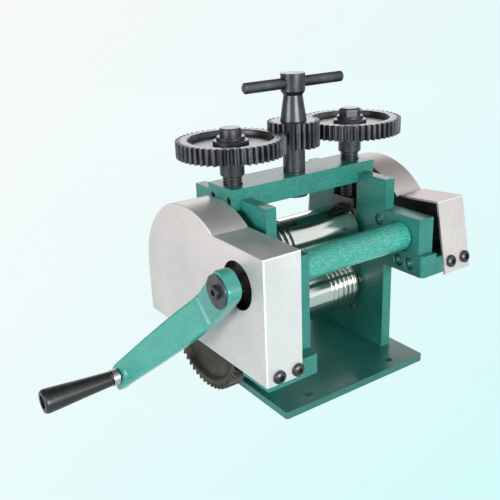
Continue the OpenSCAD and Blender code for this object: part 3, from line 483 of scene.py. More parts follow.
def rounded(node, material, width, segments, folds=None):
    """folds is a point inside a folded sheet: only its outer folds are rounded."""
    source = frame["nodes"][node]
    mesh = source.data.copy()
    bm = bmesh.new()
    bm.from_mesh(mesh)
    bmesh.ops.remove_doubles(bm, verts=bm.verts, dist=WELD)
    if folds:
        print(node, "inner walls dropped:", drop_inner_walls(bm))
        bmesh.ops.dissolve_limit(
            bm, angle_limit=math.radians(FLAT_ANGLE), verts=bm.verts, edges=bm.edges
        )
        mark_folds(bm, Vector(folds) * mm)
    bm.to_mesh(mesh)
    bm.free()
    for face in mesh.polygons:
        face.use_smooth = True
    obj = bpy.data.objects.new(node + "_copy", mesh)
    scene.collection.objects.link(obj)
    bevel = obj.modifiers.new("edge", "BEVEL")
    bevel.width, bevel.segments = width, segments
    bevel.limit_method = "WEIGHT" if folds else "ANGLE"
    bevel.angle_limit = math.radians(EDGE_ANGLE)
    bevel.use_clamp_overlap, bevel.loop_slide = not folds, False
    if folds:
        # A cover's inner faces later take the near-black painted shade, and its rounded folds the
        # lighter painted highlight
        mesh.materials.clear()
        for finish in (material, inner_shade, painted_highlight_fold):
            mesh.materials.append(finish)
        for face in mesh.polygons:
            face.material_index = SHEET
        # The rounded outer folds take the lighter sheet, a painted highlight
        bevel.material = FOLD
    flat = obj.modifiers.new("flat_faces", "WEIGHTED_NORMAL")
    flat.keep_sharp = bool(folds)
    flat.weight = 100
    finish = None if folds else material
    return plain(obj, node + "_dressed", finish, BODY_OF[node], [node])


# A point inside each folded cover, in millimetres
FOLDS = {"left_cover": (-72, -30, 80), "right_cover": (80, -30, 85)}
# Finish, width of the rounding in millimetres, and its segments
DRESS = {
    "base_plate": (painted_shade_base_paint, 0.8, 3),
    "left_side_plate": (paint, 0.6, 2),
    "right_side_plate": (paint, 0.6, 2),
    "bridge": (paint, 0.6, 2),
    "left_shaft_block": (paint, 0.6, 2),
    "right_shaft_block": (paint, 0.6, 2),
    "left_cover_bracket": (paint, 0.6, 2),
    "right_cover_bracket": (paint, 0.6, 2),
    "left_cover_bar": (paint, 0.6, 2),
    "right_cover_bar": (paint, 0.6, 2),
    "front_tube": (hammered, 0.3, 1),
    "left_cover": (sheet, 0.8, 3),
    "right_cover": (painted_shade_sheet, 0.8, 3),
    "lower_left_block": (block_steel, 0.4, 2),
    "lower_right_block": (block_steel, 0.4, 2),
    "upper_left_block": (block_steel, 0.4, 2),
    "upper_right_block": (block_steel, 0.4, 2),
    "drive_gear": (gear_black, 0.2, 1),
    "idler_gear": (gear_black, 0.2, 1),
    "lower_tie_gear": (gear_black, 0.2, 1),
    "upper_tie_gear": (gear_black, 0.2, 1),
    "crank_pinion": (gear_black, 0.2, 1),
    "left_screw_gear": (blacked, 0.2, 1),
    "right_screw_gear": (blacked, 0.2, 1),
    "centre_pinion": (blacked, 0.2, 1),
    "t_socket": (dark_oxide, 0.3, 2),
    "t_bar": (blacked, 0.5, 2),
    "left_keeper": (blacked, 0.3, 1),
    "right_keeper": (blacked, 0.3, 1),
    "crank_bolt": (blacked, 0.25, 1),
}
dressed = {}
for name, (material, width, segments) in DRESS.items():
    dressed[name] = rounded(name, material, width * mm, segments, FOLDS.get(name))
print("nodes with rounded edges:", len(dressed))

# %% [markdown]
# ## Painted shade inside the covers
# A face belongs to the inside of a cover when its normal looks towards a point in the middle of
# it, and it takes the near-black painted shade. A second shell could carry that dark colour, but
# it would lie too close to the sheet. The rounding may push a corner a little past the CAD sheet,
# so it is held back.


# %% Paint shade inside the covers
TOUCH = 1e-7


def shade_cover_inside(node, middle):
    mesh = dressed[node].data
    inner = 0
    for face in mesh.polygons:
        if face.normal.dot(face.center - Vector(middle) * mm) < 0:
            # An inner face is coloured near-black as painted shade
            face.material_index = INNER_SHADE
            inner += 1
    low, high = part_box(node)
    fold = DRESS[node][1] * mm
    for vert in mesh.vertices:
        vert.co.x = min(max(vert.co.x, low.x), high.x)
        if abs(vert.co.x) > max(abs(low.x), abs(high.x)) - TOUCH:
            vert.co.y = min(max(vert.co.y, low.y + fold), high.y - fold)
    print(node, inner, "inner faces of", len(mesh.polygons))


for name, middle in FOLDS.items():
    shade_cover_inside(name, middle)

# %% [markdown]
# ## Crank arm
# The arm is a casting: a flat hub on the shaft, a short step, and a blade that leans
# outwards and narrows towards the grip. A row of rounded sections is lofted along it,
# the way a pattern maker shapes the wood, and two sharp sections keep the step crisp.

# %% Loft the arm along its length
SHAFT_PLACE = Vector((0, -55.4, 95.2))
ARM_ANGLE, ARM_FACE, ARM_LEAN, ARM_THROW = 45.3, 99.4, 35.0, 110.0
LEAN_START = 27
HUB_BACK, HUB_WIDTH, HUB_CORNER, HUB_THICK = -11.9, 21.6, 8.0, 8.9
HUB_TURNS = (4, 14, 26, 38, 51, 64, 77, 90)
# Distance along the arm and width, in millimetres
HUB_ROWS = ((8.0, HUB_WIDTH), (16.0, 21.2))
# The same, with how far the outer face stands out from the hub's, and the thickness
CREASE_ROWS = ((23.8, 20.8, 0.0, HUB_THICK), (24.8, 20.7, -0.9, 8.0), (26.4, 20.7, 0.7, 8.6))
# Distance, width and how far the outer face stands out
RISE_ROWS = ((28.5, 20.7, 1.1), (31, 20.8, 1.8), (33.5, 20.9, 2.6))
# Distance, width and thickness of the leaning blade
BLADE_ROWS = (
    (38, 21.1, 8.6), (48, 21.3, 8.3), (60, 21.0, 8.0), (74, 20.0, 7.8), (88, 18.8, 7.7),
    (102, 17.4, 7.6), (109, 16.7, 7.5),
)
# Distance, width, how far the face falls back at the tip, thickness and corner
END_ROWS = (
    (112.5, 16.3, 0.0, 7.4, 1.9), (117.2, 15.6, 0.0, 7.2, 1.8), (119.0, 14.4, 0.2, 6.6, 1.5),
    (119.6, 12.8, 0.7, 5.6, 1.0),
)
STEP_CORNER, RISE_CORNER, BLADE_CORNER = 1.7, 1.8, 1.9
EDGE_START, EDGE_GROWTH = 0.5, 1.2
MOST_THICK = 8.8


def section(s, width, face, thick, corner, points=5):
    """A rounded rectangle across the arm at distance s, with its outer face at -face."""
    ring = []
    half = width / 2 - corner
    for x0, y0, start in (
        (-face + corner, half, 90),
        (-face + corner, -half, 180),
        (-face + thick - corner, -half, 270),
        (-face + thick - corner, half, 0),
    ):
        for step in range(points + 1):
            a = math.radians(start + 90 * step / points)
            ring.append(Vector((x0 + corner * math.cos(a), s, y0 + corner * math.sin(a))))
    return ring


def hub_sections():
    """Rows of distance along the arm, width, outer face, thickness, corner and whether the
    section is sharp, up to the crease where the blade begins."""
    rows = []
    for degrees in HUB_TURNS:
        a = math.radians(degrees)
        along = HUB_BACK + HUB_CORNER * (1 - math.cos(a))
        width = HUB_WIDTH - 2 * HUB_CORNER * (1 - math.sin(a))
        edge = EDGE_START + EDGE_GROWTH * math.sin(a)
        rows.append((along, width, ARM_FACE, HUB_THICK, edge, 0))
    for s, width in HUB_ROWS:
        rows.append((s, width, ARM_FACE, HUB_THICK, STEP_CORNER, 0))
    for s, width, rise, thick in CREASE_ROWS:
        rows.append((s, width, ARM_FACE + rise, thick, STEP_CORNER, 1))
    return rows


def blade_sections():
    """The rows of the leaning blade, and of the flat end that carries the grip."""
    rows = []
    for s, width, rise in RISE_ROWS:
        thick = min(MOST_THICK, HUB_THICK + rise)
        rows.append((s, width, ARM_FACE + rise, thick, RISE_CORNER, 0))
    lean = ARM_LEAN / (ARM_THROW - LEAN_START)
    for s, width, thick in BLADE_ROWS:
        rows.append((s, width, ARM_FACE + (s - LEAN_START) * lean, thick, BLADE_CORNER, 0))
    for s, width, fall, thick, corner in END_ROWS:
        rows.append((s, width, ARM_FACE + ARM_LEAN - fall, thick, corner, 0))
    return rows


def crank_arm():
    sections = hub_sections() + blade_sections()
    bm = bmesh.new()
    rings = [[bm.verts.new(p) for p in section(*row[:5])] for row in sections]
    count = len(rings[0])
    for low, high in zip(rings, rings[1:]):
        for i in range(count):
            bm.faces.new((low[i], low[(i + 1) % count], high[(i + 1) % count], high[i]))
    bm.faces.new(rings[0])
    bm.faces.new(list(reversed(rings[-1])))
    bmesh.ops.recalc_face_normals(bm, faces=bm.faces)
    for ring, row in zip(rings, sections):
        for i in range(count):
            edge = bm.edges.get((ring[i], ring[(i + 1) % count]))
            edge.smooth = not row[5]
    turn = Matrix.Rotation(math.radians(-ARM_ANGLE), 4, "X")
    bm.transform(Matrix.Scale(mm, 4) @ Matrix.Translation(SHAFT_PLACE) @ turn)
    mesh = bpy.data.meshes.new("arm")
    bm.to_mesh(mesh)
    bm.free()
    for face in mesh.polygons:
        face.use_smooth = True
    obj = bpy.data.objects.new("arm", mesh)
    scene.collection.objects.link(obj)
    flat = obj.modifiers.new("flat_faces", "WEIGHTED_NORMAL")
    flat.keep_sharp = True
    piece = plain(obj, "cast_crank_arm", cast_paint, "crank", ["crank_arm"])
    low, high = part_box("crank_arm")
    where = [v.co for v in piece.data.vertices]
    least = [round(min(c[i] for c in where), 4) for i in range(3)]
    most = [round(max(c[i] for c in where), 4) for i in range(3)]
    print("arm box", [round(v, 4) for v in low], [round(v, 4) for v in high])
    print("loft   ", least, most)


crank_arm()

# %% [markdown]
# ## Screws
# The covers, brackets and blocks are held by button-head socket screws. One screw is lathed with
# a six-sided socket in its head, and Geometry Nodes put a copy on each place, so that all of them
# stay alike. The bracket and block screws were sprayed with the frame, so their heads took the
# paint, and their sockets show bright metal. The cover screws are blacked, and their sockets are
# coloured near-black as painted shade. Their heads are drawn 8.4 mm wide, where the CAD has 7.6.


# %% Lathe a closed shape round +Z
def lathe(name, profile, sides=48, hexagon=()):
    """profile lists (radius, height) from the axis outwards and back to the axis; the
    rings whose numbers are in hexagon have six flats."""
    bm = bmesh.new()
    rings = []
    for number, (radius, height) in enumerate(profile):
        if radius == 0:
            rings.append([bm.verts.new((0, 0, height))])
            continue
        ring = []
        for step in range(sides):
            turn = 2 * math.pi * step / sides
            reach = radius
            if number in hexagon:
                off = (turn + math.pi / 6) % (math.pi / 3) - math.pi / 6
                reach = radius / math.cos(off)
            ring.append(bm.verts.new((reach * math.cos(turn), reach * math.sin(turn), height)))
        rings.append(ring)
    for low, high in zip(rings, rings[1:]):
        for step in range(sides):
            after = (step + 1) % sides
            if len(low) == 1:
                bm.faces.new((low[0], high[after], high[step]))
            elif len(high) == 1:
                bm.faces.new((low[step], low[after], high[0]))
            else:
                bm.faces.new((low[step], low[after], high[after], high[step]))
    bmesh.ops.recalc_face_normals(bm, faces=bm.faces)
    mesh = bpy.data.meshes.new(name)
    bm.to_mesh(mesh)
    bm.free()
    for face in mesh.polygons:
        face.use_smooth = True
    return mesh


# %% Lathe one button-head screw with its socket
HEAD_R, HEAD_H, SHANK_R, SOCKET_R = 4.2 * mm, 2.7 * mm, 1.9 * mm, 1.6 * mm
DOME_TURNS = (0, 18, 36, 52)
DOME_FOOT, DOME_RISE, HEAD_TOP = 0.45, 0.55, 0.97
SCREW_SIDES = 36
SHARP_ANGLE = 40


def screw_mesh(name, length):
    dome = [
        (HEAD_R * math.cos(a), HEAD_H * DOME_FOOT + HEAD_H * DOME_RISE * math.sin(a))
        for a in (math.radians(d) for d in DOME_TURNS)
    ]
    profile = [(0, -length), (SHANK_R, -length), (SHANK_R, 0), (HEAD_R * 0.94, 0)]
    profile += [(HEAD_R, HEAD_H * 0.06)] + dome + [(HEAD_R * 0.52, HEAD_H * HEAD_TOP)]
    first = len(profile)
    profile += [(SOCKET_R * 1.1, HEAD_H * HEAD_TOP), (SOCKET_R, HEAD_H * 0.9)]
    profile += [(SOCKET_R, HEAD_H * 0.4)]
    flats = range(first, len(profile))
    mesh = lathe(name, profile + [(0, HEAD_H * 0.34)], SCREW_SIDES, flats)
    inside = mesh.attributes.new("socket", "BOOLEAN", "FACE")
    for face in mesh.polygons:
        c = face.center
        inside.data[face.index].value = c.z > 0 and math.hypot(c.x, c.y) < SOCKET_R * 1.02
    mesh.set_sharp_from_angle(angle=math.radians(SHARP_ANGLE))
    return mesh


# %% [markdown]
# ## Copies of a screw by nodes
# Every screw sits on a point that also carries the direction of its head. The node tree
# turns one screw to each direction, makes the copies real and paints head and socket, so a
# new place in the list is all that another screw needs.


# %% A node tree that sets screws on places
def link(tree, out, socket):
    tree.links.new(out, socket)


def screw_tree():
    tree = bpy.data.node_groups.new("screws_on_places", "GeometryNodeTree")
    face = tree.interface
    face.new_socket("Places", in_out="INPUT", socket_type="NodeSocketGeometry")
    face.new_socket("Screw", in_out="INPUT", socket_type="NodeSocketObject")
    size = face.new_socket("Size", in_out="INPUT", socket_type="NodeSocketFloat")
    size.default_value = 1.0
    face.new_socket("Head finish", in_out="INPUT", socket_type="NodeSocketMaterial")
    face.new_socket("Socket finish", in_out="INPUT", socket_type="NodeSocketMaterial")
    face.new_socket("Screws", in_out="OUTPUT", socket_type="NodeSocketGeometry")
    add = tree.nodes.new
    start, end = add("NodeGroupInput"), add("NodeGroupOutput")
    thing = add("GeometryNodeObjectInfo")
    aim = add("GeometryNodeInputNamedAttribute")
    aim.data_type = "FLOAT_VECTOR"
    aim.inputs["Name"].default_value = "aim"
    turn = add("FunctionNodeAlignRotationToVector")
    turn.axis = "Z"
    put = add("GeometryNodeInstanceOnPoints")
    real = add("GeometryNodeRealizeInstances")
    head = add("GeometryNodeSetMaterial")
    hole = add("GeometryNodeSetMaterial")
    inside = add("GeometryNodeInputNamedAttribute")
    inside.data_type = "BOOLEAN"
    inside.inputs["Name"].default_value = "socket"
    link(tree, start.outputs["Places"], put.inputs["Points"])
    link(tree, start.outputs["Screw"], thing.inputs["Object"])
    link(tree, thing.outputs["Geometry"], put.inputs["Instance"])
    link(tree, aim.outputs["Attribute"], turn.inputs["Vector"])
    link(tree, turn.outputs["Rotation"], put.inputs["Rotation"])
    link(tree, start.outputs["Size"], put.inputs["Scale"])
    link(tree, put.outputs["Instances"], real.inputs["Geometry"])
    link(tree, real.outputs["Geometry"], head.inputs["Geometry"])
    link(tree, start.outputs["Head finish"], head.inputs["Material"])
    link(tree, head.outputs["Geometry"], hole.inputs["Geometry"])
    link(tree, inside.outputs["Attribute"], hole.inputs["Selection"])
    link(tree, start.outputs["Socket finish"], hole.inputs["Material"])
    link(tree, hole.outputs["Geometry"], end.inputs["Screws"])
    return tree


def set_input(modifier, name, value):
    for item in modifier.node_group.interface.items_tree:
        if item.item_type == "SOCKET" and item.in_out == "INPUT" and item.name == name:
            modifier[item.identifier] = value


SCREWS = screw_tree()


def screws(name, node, places, length, head_finish, socket_finish, size=1.0):
    """places lists (seat, direction of the head) in millimetres."""
    single = bpy.data.objects.new(name + "_one", screw_mesh(name + "_one", length * mm))
    scene.collection.objects.link(single)
    mesh = bpy.data.meshes.new(name + "_places")
    mesh.from_pydata([Vector(seat) * mm for seat, _ in places], [], [])
    aim = mesh.attributes.new("aim", "FLOAT_VECTOR", "POINT")
    for number, (_, direction) in enumerate(places):
        aim.data[number].vector = Vector(direction).normalized()
    obj = bpy.data.objects.new(name + "_places", mesh)
    scene.collection.objects.link(obj)
    nodes = obj.modifiers.new("screws", "NODES")
    nodes.node_group = SCREWS
    set_input(nodes, "Screw", single)
    set_input(nodes, "Size", size)
    set_input(nodes, "Head finish", head_finish)
    set_input(nodes, "Socket finish", socket_finish)
    piece = plain(obj, name, None, "frame", [node])
    bpy.data.objects.remove(single)
    print(piece.name, len(places), "screws")


# %% [markdown]
# ## Places of the screws
# The CAD node of a set of screws holds one solid for each screw. The box round each solid
# tells where its head is, so that the dressed screws sit where the CAD has them and no
# place is typed twice. The right cover leans back, and its screws lean with it.


# %% Place the screws of the covers, the brackets and the blocks
def solid_boxes(node):
    """Low and high corners of the separate solids of a CAD node, in millimetres."""
    bm = bmesh.new()
    bm.from_mesh(frame["nodes"][node].data)
    bmesh.ops.remove_doubles(bm, verts=bm.verts, dist=WELD)
    found, left = [], set(bm.verts)
    while left:
        group, todo = [], [left.pop()]
        while todo:
            vert = todo.pop()
            group.append(vert.co.copy())
            for edge in vert.link_edges:
                other = edge.other_vert(vert)
                if other in left:
                    left.discard(other)
                    todo.append(other)
        low = Vector([min(c[i] for c in group) for i in range(3)]) / mm
        high = Vector([max(c[i] for c in group) for i in range(3)]) / mm
        found.append((low, high))
    bm.free()
    return found


COVER_LEAN = math.radians(11.4)
SEAT_DEPTH = 2.6
COVER_SCREW_L, BRACKET_SCREW_L, BLOCK_SCREW_L = 10.5, 23.0, 11.0
SIDE_SCREW_SIZE = 0.9


def cover_seats():
    places = []
    for low, high in solid_boxes("cover_screws"):
        middle = (low + high) / 2
        lean = COVER_LEAN if middle.x > 0 else 0.0
        out = Vector((0, -math.cos(lean), math.sin(lean)))
        radius = (high.x - low.x) / 2
        front = low.y + radius * math.sin(lean)
        reach = (front - middle.y) / out.y
        tip = middle + out * reach
        places.append((tip - out * SEAT_DEPTH, out))
    return places


def side_seats(node):
    places = []
    for low, high in solid_boxes(node):
        middle = (low + high) / 2
        inward = -1 if middle.x > 0 else 1
        head_x = low.x if middle.x > 0 else high.x
        places.append(((head_x - inward * SEAT_DEPTH, middle.y, middle.z), (inward, 0, 0)))
    return places


# The sockets of the cover screws take the near-black painted shade
screws(
    "cover_button_screws", "cover_screws", cover_seats(), COVER_SCREW_L, dark_oxide, inner_shade
)
for kind, length in (("bracket", BRACKET_SCREW_L), ("block", BLOCK_SCREW_L)):
    node = kind + "_screws"
    seats = side_seats(node)
    screws(kind + "_button_screws", node, seats, length, paint, bright, SIDE_SCREW_SIZE)

# %% [markdown]
# ## Threads
# The adjusting screws are threaded where they pass through the bridge. A spiral with a
# small diamond swept along it, on a slightly thinner core, reads as a real 2 mm thread,
# and the radius of the whole stays what the CAD screw has.


# %% A node tree that makes a threaded rod
SPIRAL_STEPS, DIAMOND_SIDES = 40, 4


def thread_tree():
    tree = bpy.data.node_groups.new("threaded_rod", "GeometryNodeTree")
    face = tree.interface
    face.new_socket("Shaft", in_out="INPUT", socket_type="NodeSocketGeometry")
    for name in ("Radius", "Depth", "Length", "Turns", "Bottom"):
        face.new_socket(name, in_out="INPUT", socket_type="NodeSocketFloat")
    face.new_socket("Finish", in_out="INPUT", socket_type="NodeSocketMaterial")
    face.new_socket("Screw", in_out="OUTPUT", socket_type="NodeSocketGeometry")
    add = tree.nodes.new
    start, end = add("NodeGroupInput"), add("NodeGroupOutput")
    spiral = add("GeometryNodeCurveSpiral")
    spiral.inputs["Resolution"].default_value = SPIRAL_STEPS
    less = add("ShaderNodeMath")
    less.operation = "SUBTRACT"
    circle = add("GeometryNodeCurvePrimitiveCircle")
    circle.inputs["Resolution"].default_value = DIAMOND_SIDES
    sweep = add("GeometryNodeCurveToMesh")
    sweep.inputs["Fill Caps"].default_value = True
    lift = add("ShaderNodeCombineXYZ")
    move = add("GeometryNodeTransform")
    join = add("GeometryNodeJoinGeometry")
    real = add("GeometryNodeRealizeInstances")
    coat = add("GeometryNodeSetMaterial")
    link(tree, start.outputs["Radius"], less.inputs[0])
    link(tree, start.outputs["Depth"], less.inputs[1])
    link(tree, less.outputs[0], spiral.inputs["Start Radius"])
    link(tree, less.outputs[0], spiral.inputs["End Radius"])
    link(tree, start.outputs["Turns"], spiral.inputs["Rotations"])
    link(tree, start.outputs["Length"], spiral.inputs["Height"])
    link(tree, start.outputs["Depth"], circle.inputs["Radius"])
    link(tree, spiral.outputs["Curve"], sweep.inputs["Curve"])
    link(tree, circle.outputs["Curve"], sweep.inputs["Profile Curve"])
    link(tree, start.outputs["Bottom"], lift.inputs["Z"])
    link(tree, lift.outputs[0], move.inputs["Translation"])
    link(tree, sweep.outputs["Mesh"], move.inputs["Geometry"])
    link(tree, start.outputs["Shaft"], join.inputs["Geometry"])
    link(tree, move.outputs["Geometry"], join.inputs["Geometry"])
    link(tree, join.outputs["Geometry"], real.inputs["Geometry"])
    link(tree, real.outputs["Geometry"], coat.inputs["Geometry"])
    link(tree, start.outputs["Finish"], coat.inputs["Material"])
    link(tree, coat.outputs["Geometry"], end.inputs["Screw"])
    return tree


THREADS = thread_tree()


# %% [markdown]
# ## Adjusting screws
# From below, a screw has a foot that the keeper holds, a neck, the thread, and a collar
# with a boss that carries its gear. All of it but the thread is turned, so it is lathed,
# and the thread is laid over the core by the node tree.


# %% Lathe both adjusting screws and thread them
CORE_R, CREST_R, THREAD_DEPTH, PITCH = 5.85, 6.5, 0.62, 2.0
FOOT_R, NECK_R, COLLAR_R, BOSS_R = 4.5, 3.2, 7.9, 5.5
FOOT_H, THREAD_UP, COLLAR_TOP, COLLAR_H = 2.9, 7.3, 157.4, 13.5
CORE_EDGE, COLLAR_EDGE = 0.4, 0.5
# The spiral starts this far above the foot of its core, and is this much shorter than it
THREAD_FOOT, THREAD_TRIM = 1.0, 1.6
SHAFT_SIDES = 64


def adjusting_screw(node):
    """The node and its body have the same name."""
    low, high = (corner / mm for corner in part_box(node))
    foot_top, thread_low = low.z + FOOT_H, low.z + THREAD_UP
    collar_low = COLLAR_TOP - COLLAR_H
    profile = [(0, low.z), (FOOT_R, low.z), (FOOT_R, foot_top), (NECK_R, foot_top)]
    profile += [(NECK_R, thread_low), (CORE_R, thread_low + CORE_EDGE), (CORE_R, collar_low)]
    profile += [(COLLAR_R - COLLAR_EDGE, collar_low), (COLLAR_R, collar_low + COLLAR_EDGE)]
    profile += [(COLLAR_R, COLLAR_TOP), (BOSS_R, COLLAR_TOP), (BOSS_R, high.z), (0, high.z)]
    mesh = lathe(node + "_shaft", [(r * mm, z * mm) for r, z in profile], SHAFT_SIDES)
    mesh.set_sharp_from_angle(angle=math.radians(SHARP_ANGLE))
    obj = bpy.data.objects.new(node + "_shaft", mesh)
    scene.collection.objects.link(obj)
    length = collar_low - thread_low - THREAD_TRIM
    nodes = obj.modifiers.new("thread", "NODES")
    nodes.node_group = THREADS
    values = {
        "Radius": CREST_R * mm,
        "Depth": THREAD_DEPTH * mm,
        "Length": length * mm,
        "Turns": length / PITCH,
        "Bottom": (thread_low + THREAD_FOOT) * mm,
        "Finish": dark_oxide,
    }
    for name, value in values.items():
        set_input(nodes, name, value)
    piece = plain(obj, node + "_threaded", dark_oxide, node, [node])
    piece.data.transform(Matrix.Translation(((low.x + high.x) / 2 * mm, 0, 0)))
    print(piece.name, "turns", round(length / PITCH, 1))


for screw in ("left_screw", "right_screw"):
    adjusting_screw(screw)

# %% [markdown]
# ## Caps of the adjusting screws
# Each screw gear is held by a flanged nut, and the end of the screw stands out of it. The
# left end is round and the right one is filed to a hexagon, for a spanner. Both come from
# one turned outline, in which only the rings of the end get flats.


# %% Lathe the caps
ROUND_END_R, HEXAGON_END_R = 6.9, 6.6
FLANGE_EDGE, FLANGE_SIDE, FLANGE_TOP, FLANGE_SLOPE = 0.4, 1.7, 2.3, 0.5
# Radius and height of the step on the flange, in millimetres
STEP = ((9.6, 2.5), (9.2, 2.9), (9.2, 4.3), (8.7, 4.8))
STEP_TOP, GROOVE_FLOOR, GROOVE_W = 4.8, 4.5, 0.5
END_EDGE, END_SLOPE = 0.8, 0.7
CAP_SIDES, CAP_SHARP_ANGLE = 72, 24


def screw_cap(node, body, hexagon):
    low, high = (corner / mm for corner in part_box(node))
    z0, z1 = low.z, high.z
    reach = (high.x - low.x) / 2
    end = HEXAGON_END_R if hexagon else ROUND_END_R
    profile = [(0, z0), (reach - FLANGE_EDGE, z0), (reach, z0 + FLANGE_EDGE)]
    profile += [(reach, z0 + FLANGE_SIDE), (reach - FLANGE_SLOPE, z0 + FLANGE_TOP)]
    profile += [(radius, z0 + height) for radius, height in STEP]
    profile += [(end + GROOVE_W, z0 + STEP_TOP), (end, z0 + GROOVE_FLOOR)]
    start = len(profile)
    profile += [(end, z0 + GROOVE_FLOOR), (end, z1 - END_EDGE), (end - END_SLOPE, z1), (0, z1)]
    flats = range(start, start + 2) if hexagon else ()
    mesh = lathe(node + "_turned", [(r * mm, z * mm) for r, z in profile], CAP_SIDES, flats)
    mesh.set_sharp_from_angle(angle=math.radians(CAP_SHARP_ANGLE))
    mesh.transform(Matrix.Translation(((low.x + high.x) / 2 * mm, 0, 0)))
    obj = bpy.data.objects.new(node + "_turned", mesh)
    scene.collection.objects.link(obj)
    print(node, "from", round(z0, 1), "to", round(z1, 1), "radius", round(reach, 2))
    plain(obj, node + "_turned", blacked, body, [node])


screw_cap("left_screw_cap", "left_screw", False)
screw_cap("right_screw_cap", "right_screw", True)

# %% [markdown]
# ## Nodes that keep their CAD shape
# The rolls, shafts, bushes, rings and the grip need no other form than the CAD gives them,
# so they only take the finish of their slot.

# %% Finish the nodes that keep their CAD shape
BARE = {
    "bronze": bronze,
    "roll_steel": roll_steel,
    "bright_steel": bright,
    "blacked_steel": blacked,
    "grip_plastic": grip_plastic,
    "block_steel": block_steel,
    "paint": paint,
    "cover_sheet": sheet,
    "hammer_paint": hammered,
}
bare_names = []
for name, node in frame["nodes"].items():
    if not node.hide_render:
        node.data.materials.clear()
        node.data.materials.append(BARE[SLOT_OF[name]])
        bare_names.append(name)
print("nodes with their CAD shape:", len(bare_names))

# %% [markdown]
# ## Floor
# The photograph has a plain, very pale ground. The floor is a wide disc that glows of
# itself to the camera and to mirrors, so it shows almost no shadow. Its faint tint grows
# towards the photograph's right and front, worked out from its camera's fixed place.


# %% Floor
FLOOR_R, FLOOR_SIDES, FLOOR_DROP = 40.0, 96, 0.0002
LEAST_AHEAD, ASIDE_TINT, NEAR_TINT = 0.2, 1.3, 0.33
TO_CAMERA, TO_MIRROR = 0.95, 0.75


def floor_finish():
    f = Finish("pale_floor")
    path = f.nodes.new("ShaderNodeLightPath")
    glow = f.nodes.new("ShaderNodeEmission")
    turn = math.radians(VIEW_AZIMUTH)
    east = f.node("ShaderNodeSeparateXYZ", {}, [f.place], "X") - CAMERA_PLACE.x
    north = f.node("ShaderNodeSeparateXYZ", {}, [f.place], "Y") - CAMERA_PLACE.y
    ahead = (east * math.sin(turn) + north * math.cos(turn)).math("MAXIMUM", LEAST_AHEAD)
    aside = east * math.cos(turn) - north * math.sin(turn)
    across = aside / ahead * ASIDE_TINT + 0.5
    near = (1.0 / ahead) * NEAR_TINT
    depth = (across * 0.5 + near * 0.5).math("MAXIMUM", 0.0)
    f.feed(glow.inputs["Color"], f.blend(depth, rgb(255, 255, 255), rgb(216, 254, 254)))
    mix = f.nodes.new("ShaderNodeMixShader")
    camera = Socket(f, path.outputs["Is Camera Ray"])
    glossy = Socket(f, path.outputs["Is Glossy Ray"])
    f.links.new((camera * TO_CAMERA + glossy * TO_MIRROR).out, mix.inputs[0])
    f.links.new(f.surface.outputs[0], mix.inputs[1])
    f.links.new(glow.outputs[0], mix.inputs[2])
    f.links.new(mix.outputs[0], f.nodes["Material Output"].inputs["Surface"])
    f.set(Base_Color=rgb(186, 200, 200), Roughness=0.9)
    return f.material


def pale_floor():
    bm = bmesh.new()
    bmesh.ops.create_circle(bm, cap_ends=True, radius=FLOOR_R, segments=FLOOR_SIDES)
    mesh = bpy.data.meshes.new("floor")
    bm.to_mesh(mesh)
    bm.free()
    floor = bpy.data.objects.new("floor", mesh)
    floor.location.z = -FLOOR_DROP
    floor.data.materials.append(floor_finish())
    scene.collection.objects.link(floor)
    print("floor:", 2 * FLOOR_R, "m wide")


pale_floor()

# %% [markdown]
# ## Lamps and sky
# Soft light comes from all sides in the photograph. Large lamps in front and on the left
# light the paint and give the rolls and covers something to mirror, and weak ones behind
# draw the edges. The sky fills in. It is a bright wall in front, with a low pale rim all
# round, and it shows itself evenly pale to the camera.


# %% Lamps
def lamp(name, place, width, height, power):
    data = bpy.data.lights.new(name, "AREA")
    data.shape, data.size, data.size_y, data.energy = "RECTANGLE", width, height, power
    obj = bpy.data.objects.new(name, data)
    aim = Vector(MIDDLE) - Vector(place)
    turn = aim.to_track_quat("-Z", "Y").to_matrix().to_4x4()
    obj.matrix_world = Matrix.Translation(place) @ turn
    scene.collection.objects.link(obj)


MIDDLE = (0, 0, 0.1)
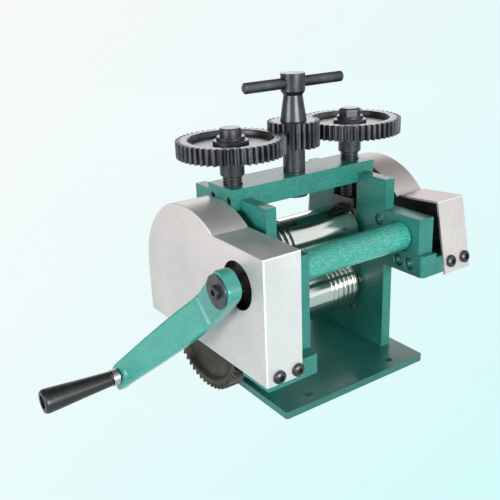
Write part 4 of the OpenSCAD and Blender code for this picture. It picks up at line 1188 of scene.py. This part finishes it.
# Place, width, height and power in watts
LAMPS = {
    "front_lamp": ((-0.1, -1.65, 0.38), 0.9, 0.5, 28),
    "left_lamp": ((-1.5, -0.15, 0.42), 0.7, 0.7, 20),
    "top_lamp": ((-0.2, -0.3, 1.6), 0.6, 0.6, 0.8),
    "right_back_lamp": ((1.2, 0.82, 0.52), 0.5, 0.5, 1.5),
    "back_lamp": ((0.66, 1.22, 0.5), 0.9, 0.4, 2.6),
}
for name, (place, width, height, power) in LAMPS.items():
    lamp(name, place, width, height, power)
print("lamps:", len(LAMPS))


# %% Sky
FRONT_EDGE, WALL_FOOT, WALL_TOP, RIM_TOP = (-0.3, 0.5), (-0.05, 0.05), (0.75, 0.9), 0.6
# Strength of each part of the sky, and what mirrors see on top of it
WALL_LIGHT, WALL_MIRROR = 0.12, 0.9
RIM_LIGHT, RIM_MIRROR = 0.05, 0.12
SKY_LIGHT, SKY_MIRROR = 0.03, 0.16


def studio_sky():
    """Bright in front, dark above and behind, and evenly pale where the camera looks."""
    world = bpy.data.worlds.new("studio")
    world.use_nodes = True
    f = Shader(world.node_tree, "Generated")
    rise = f.node("ShaderNodeSeparateXYZ", {}, [f.place], "Z")
    north = f.node("ShaderNodeSeparateXYZ", {}, [f.place], "Y")
    front = (0.0 - north).band(*FRONT_EDGE)
    wall = rise.band(*WALL_FOOT) * (1.0 - rise.band(*WALL_TOP))
    path = f.nodes.new("ShaderNodeLightPath")
    camera = Socket(f, path.outputs["Is Camera Ray"])
    glossy = Socket(f, path.outputs["Is Glossy Ray"])
    rim = (1.0 - rise.band(0.0, RIM_TOP)) * (glossy * RIM_MIRROR + RIM_LIGHT)
    wall_light = front * wall * (glossy * WALL_MIRROR + WALL_LIGHT)
    level = wall_light + rim + glossy * SKY_MIRROR + SKY_LIGHT
    sky = f.nodes["Background"]
    sky.inputs["Color"].default_value = rgb(243, 253, 253)
    f.feed(sky.inputs["Strength"], level * (1.0 - camera) + camera)
    return world


scene.world = studio_sky()
scene.view_settings.view_transform = "Standard"
print("sky:", scene.world.name)
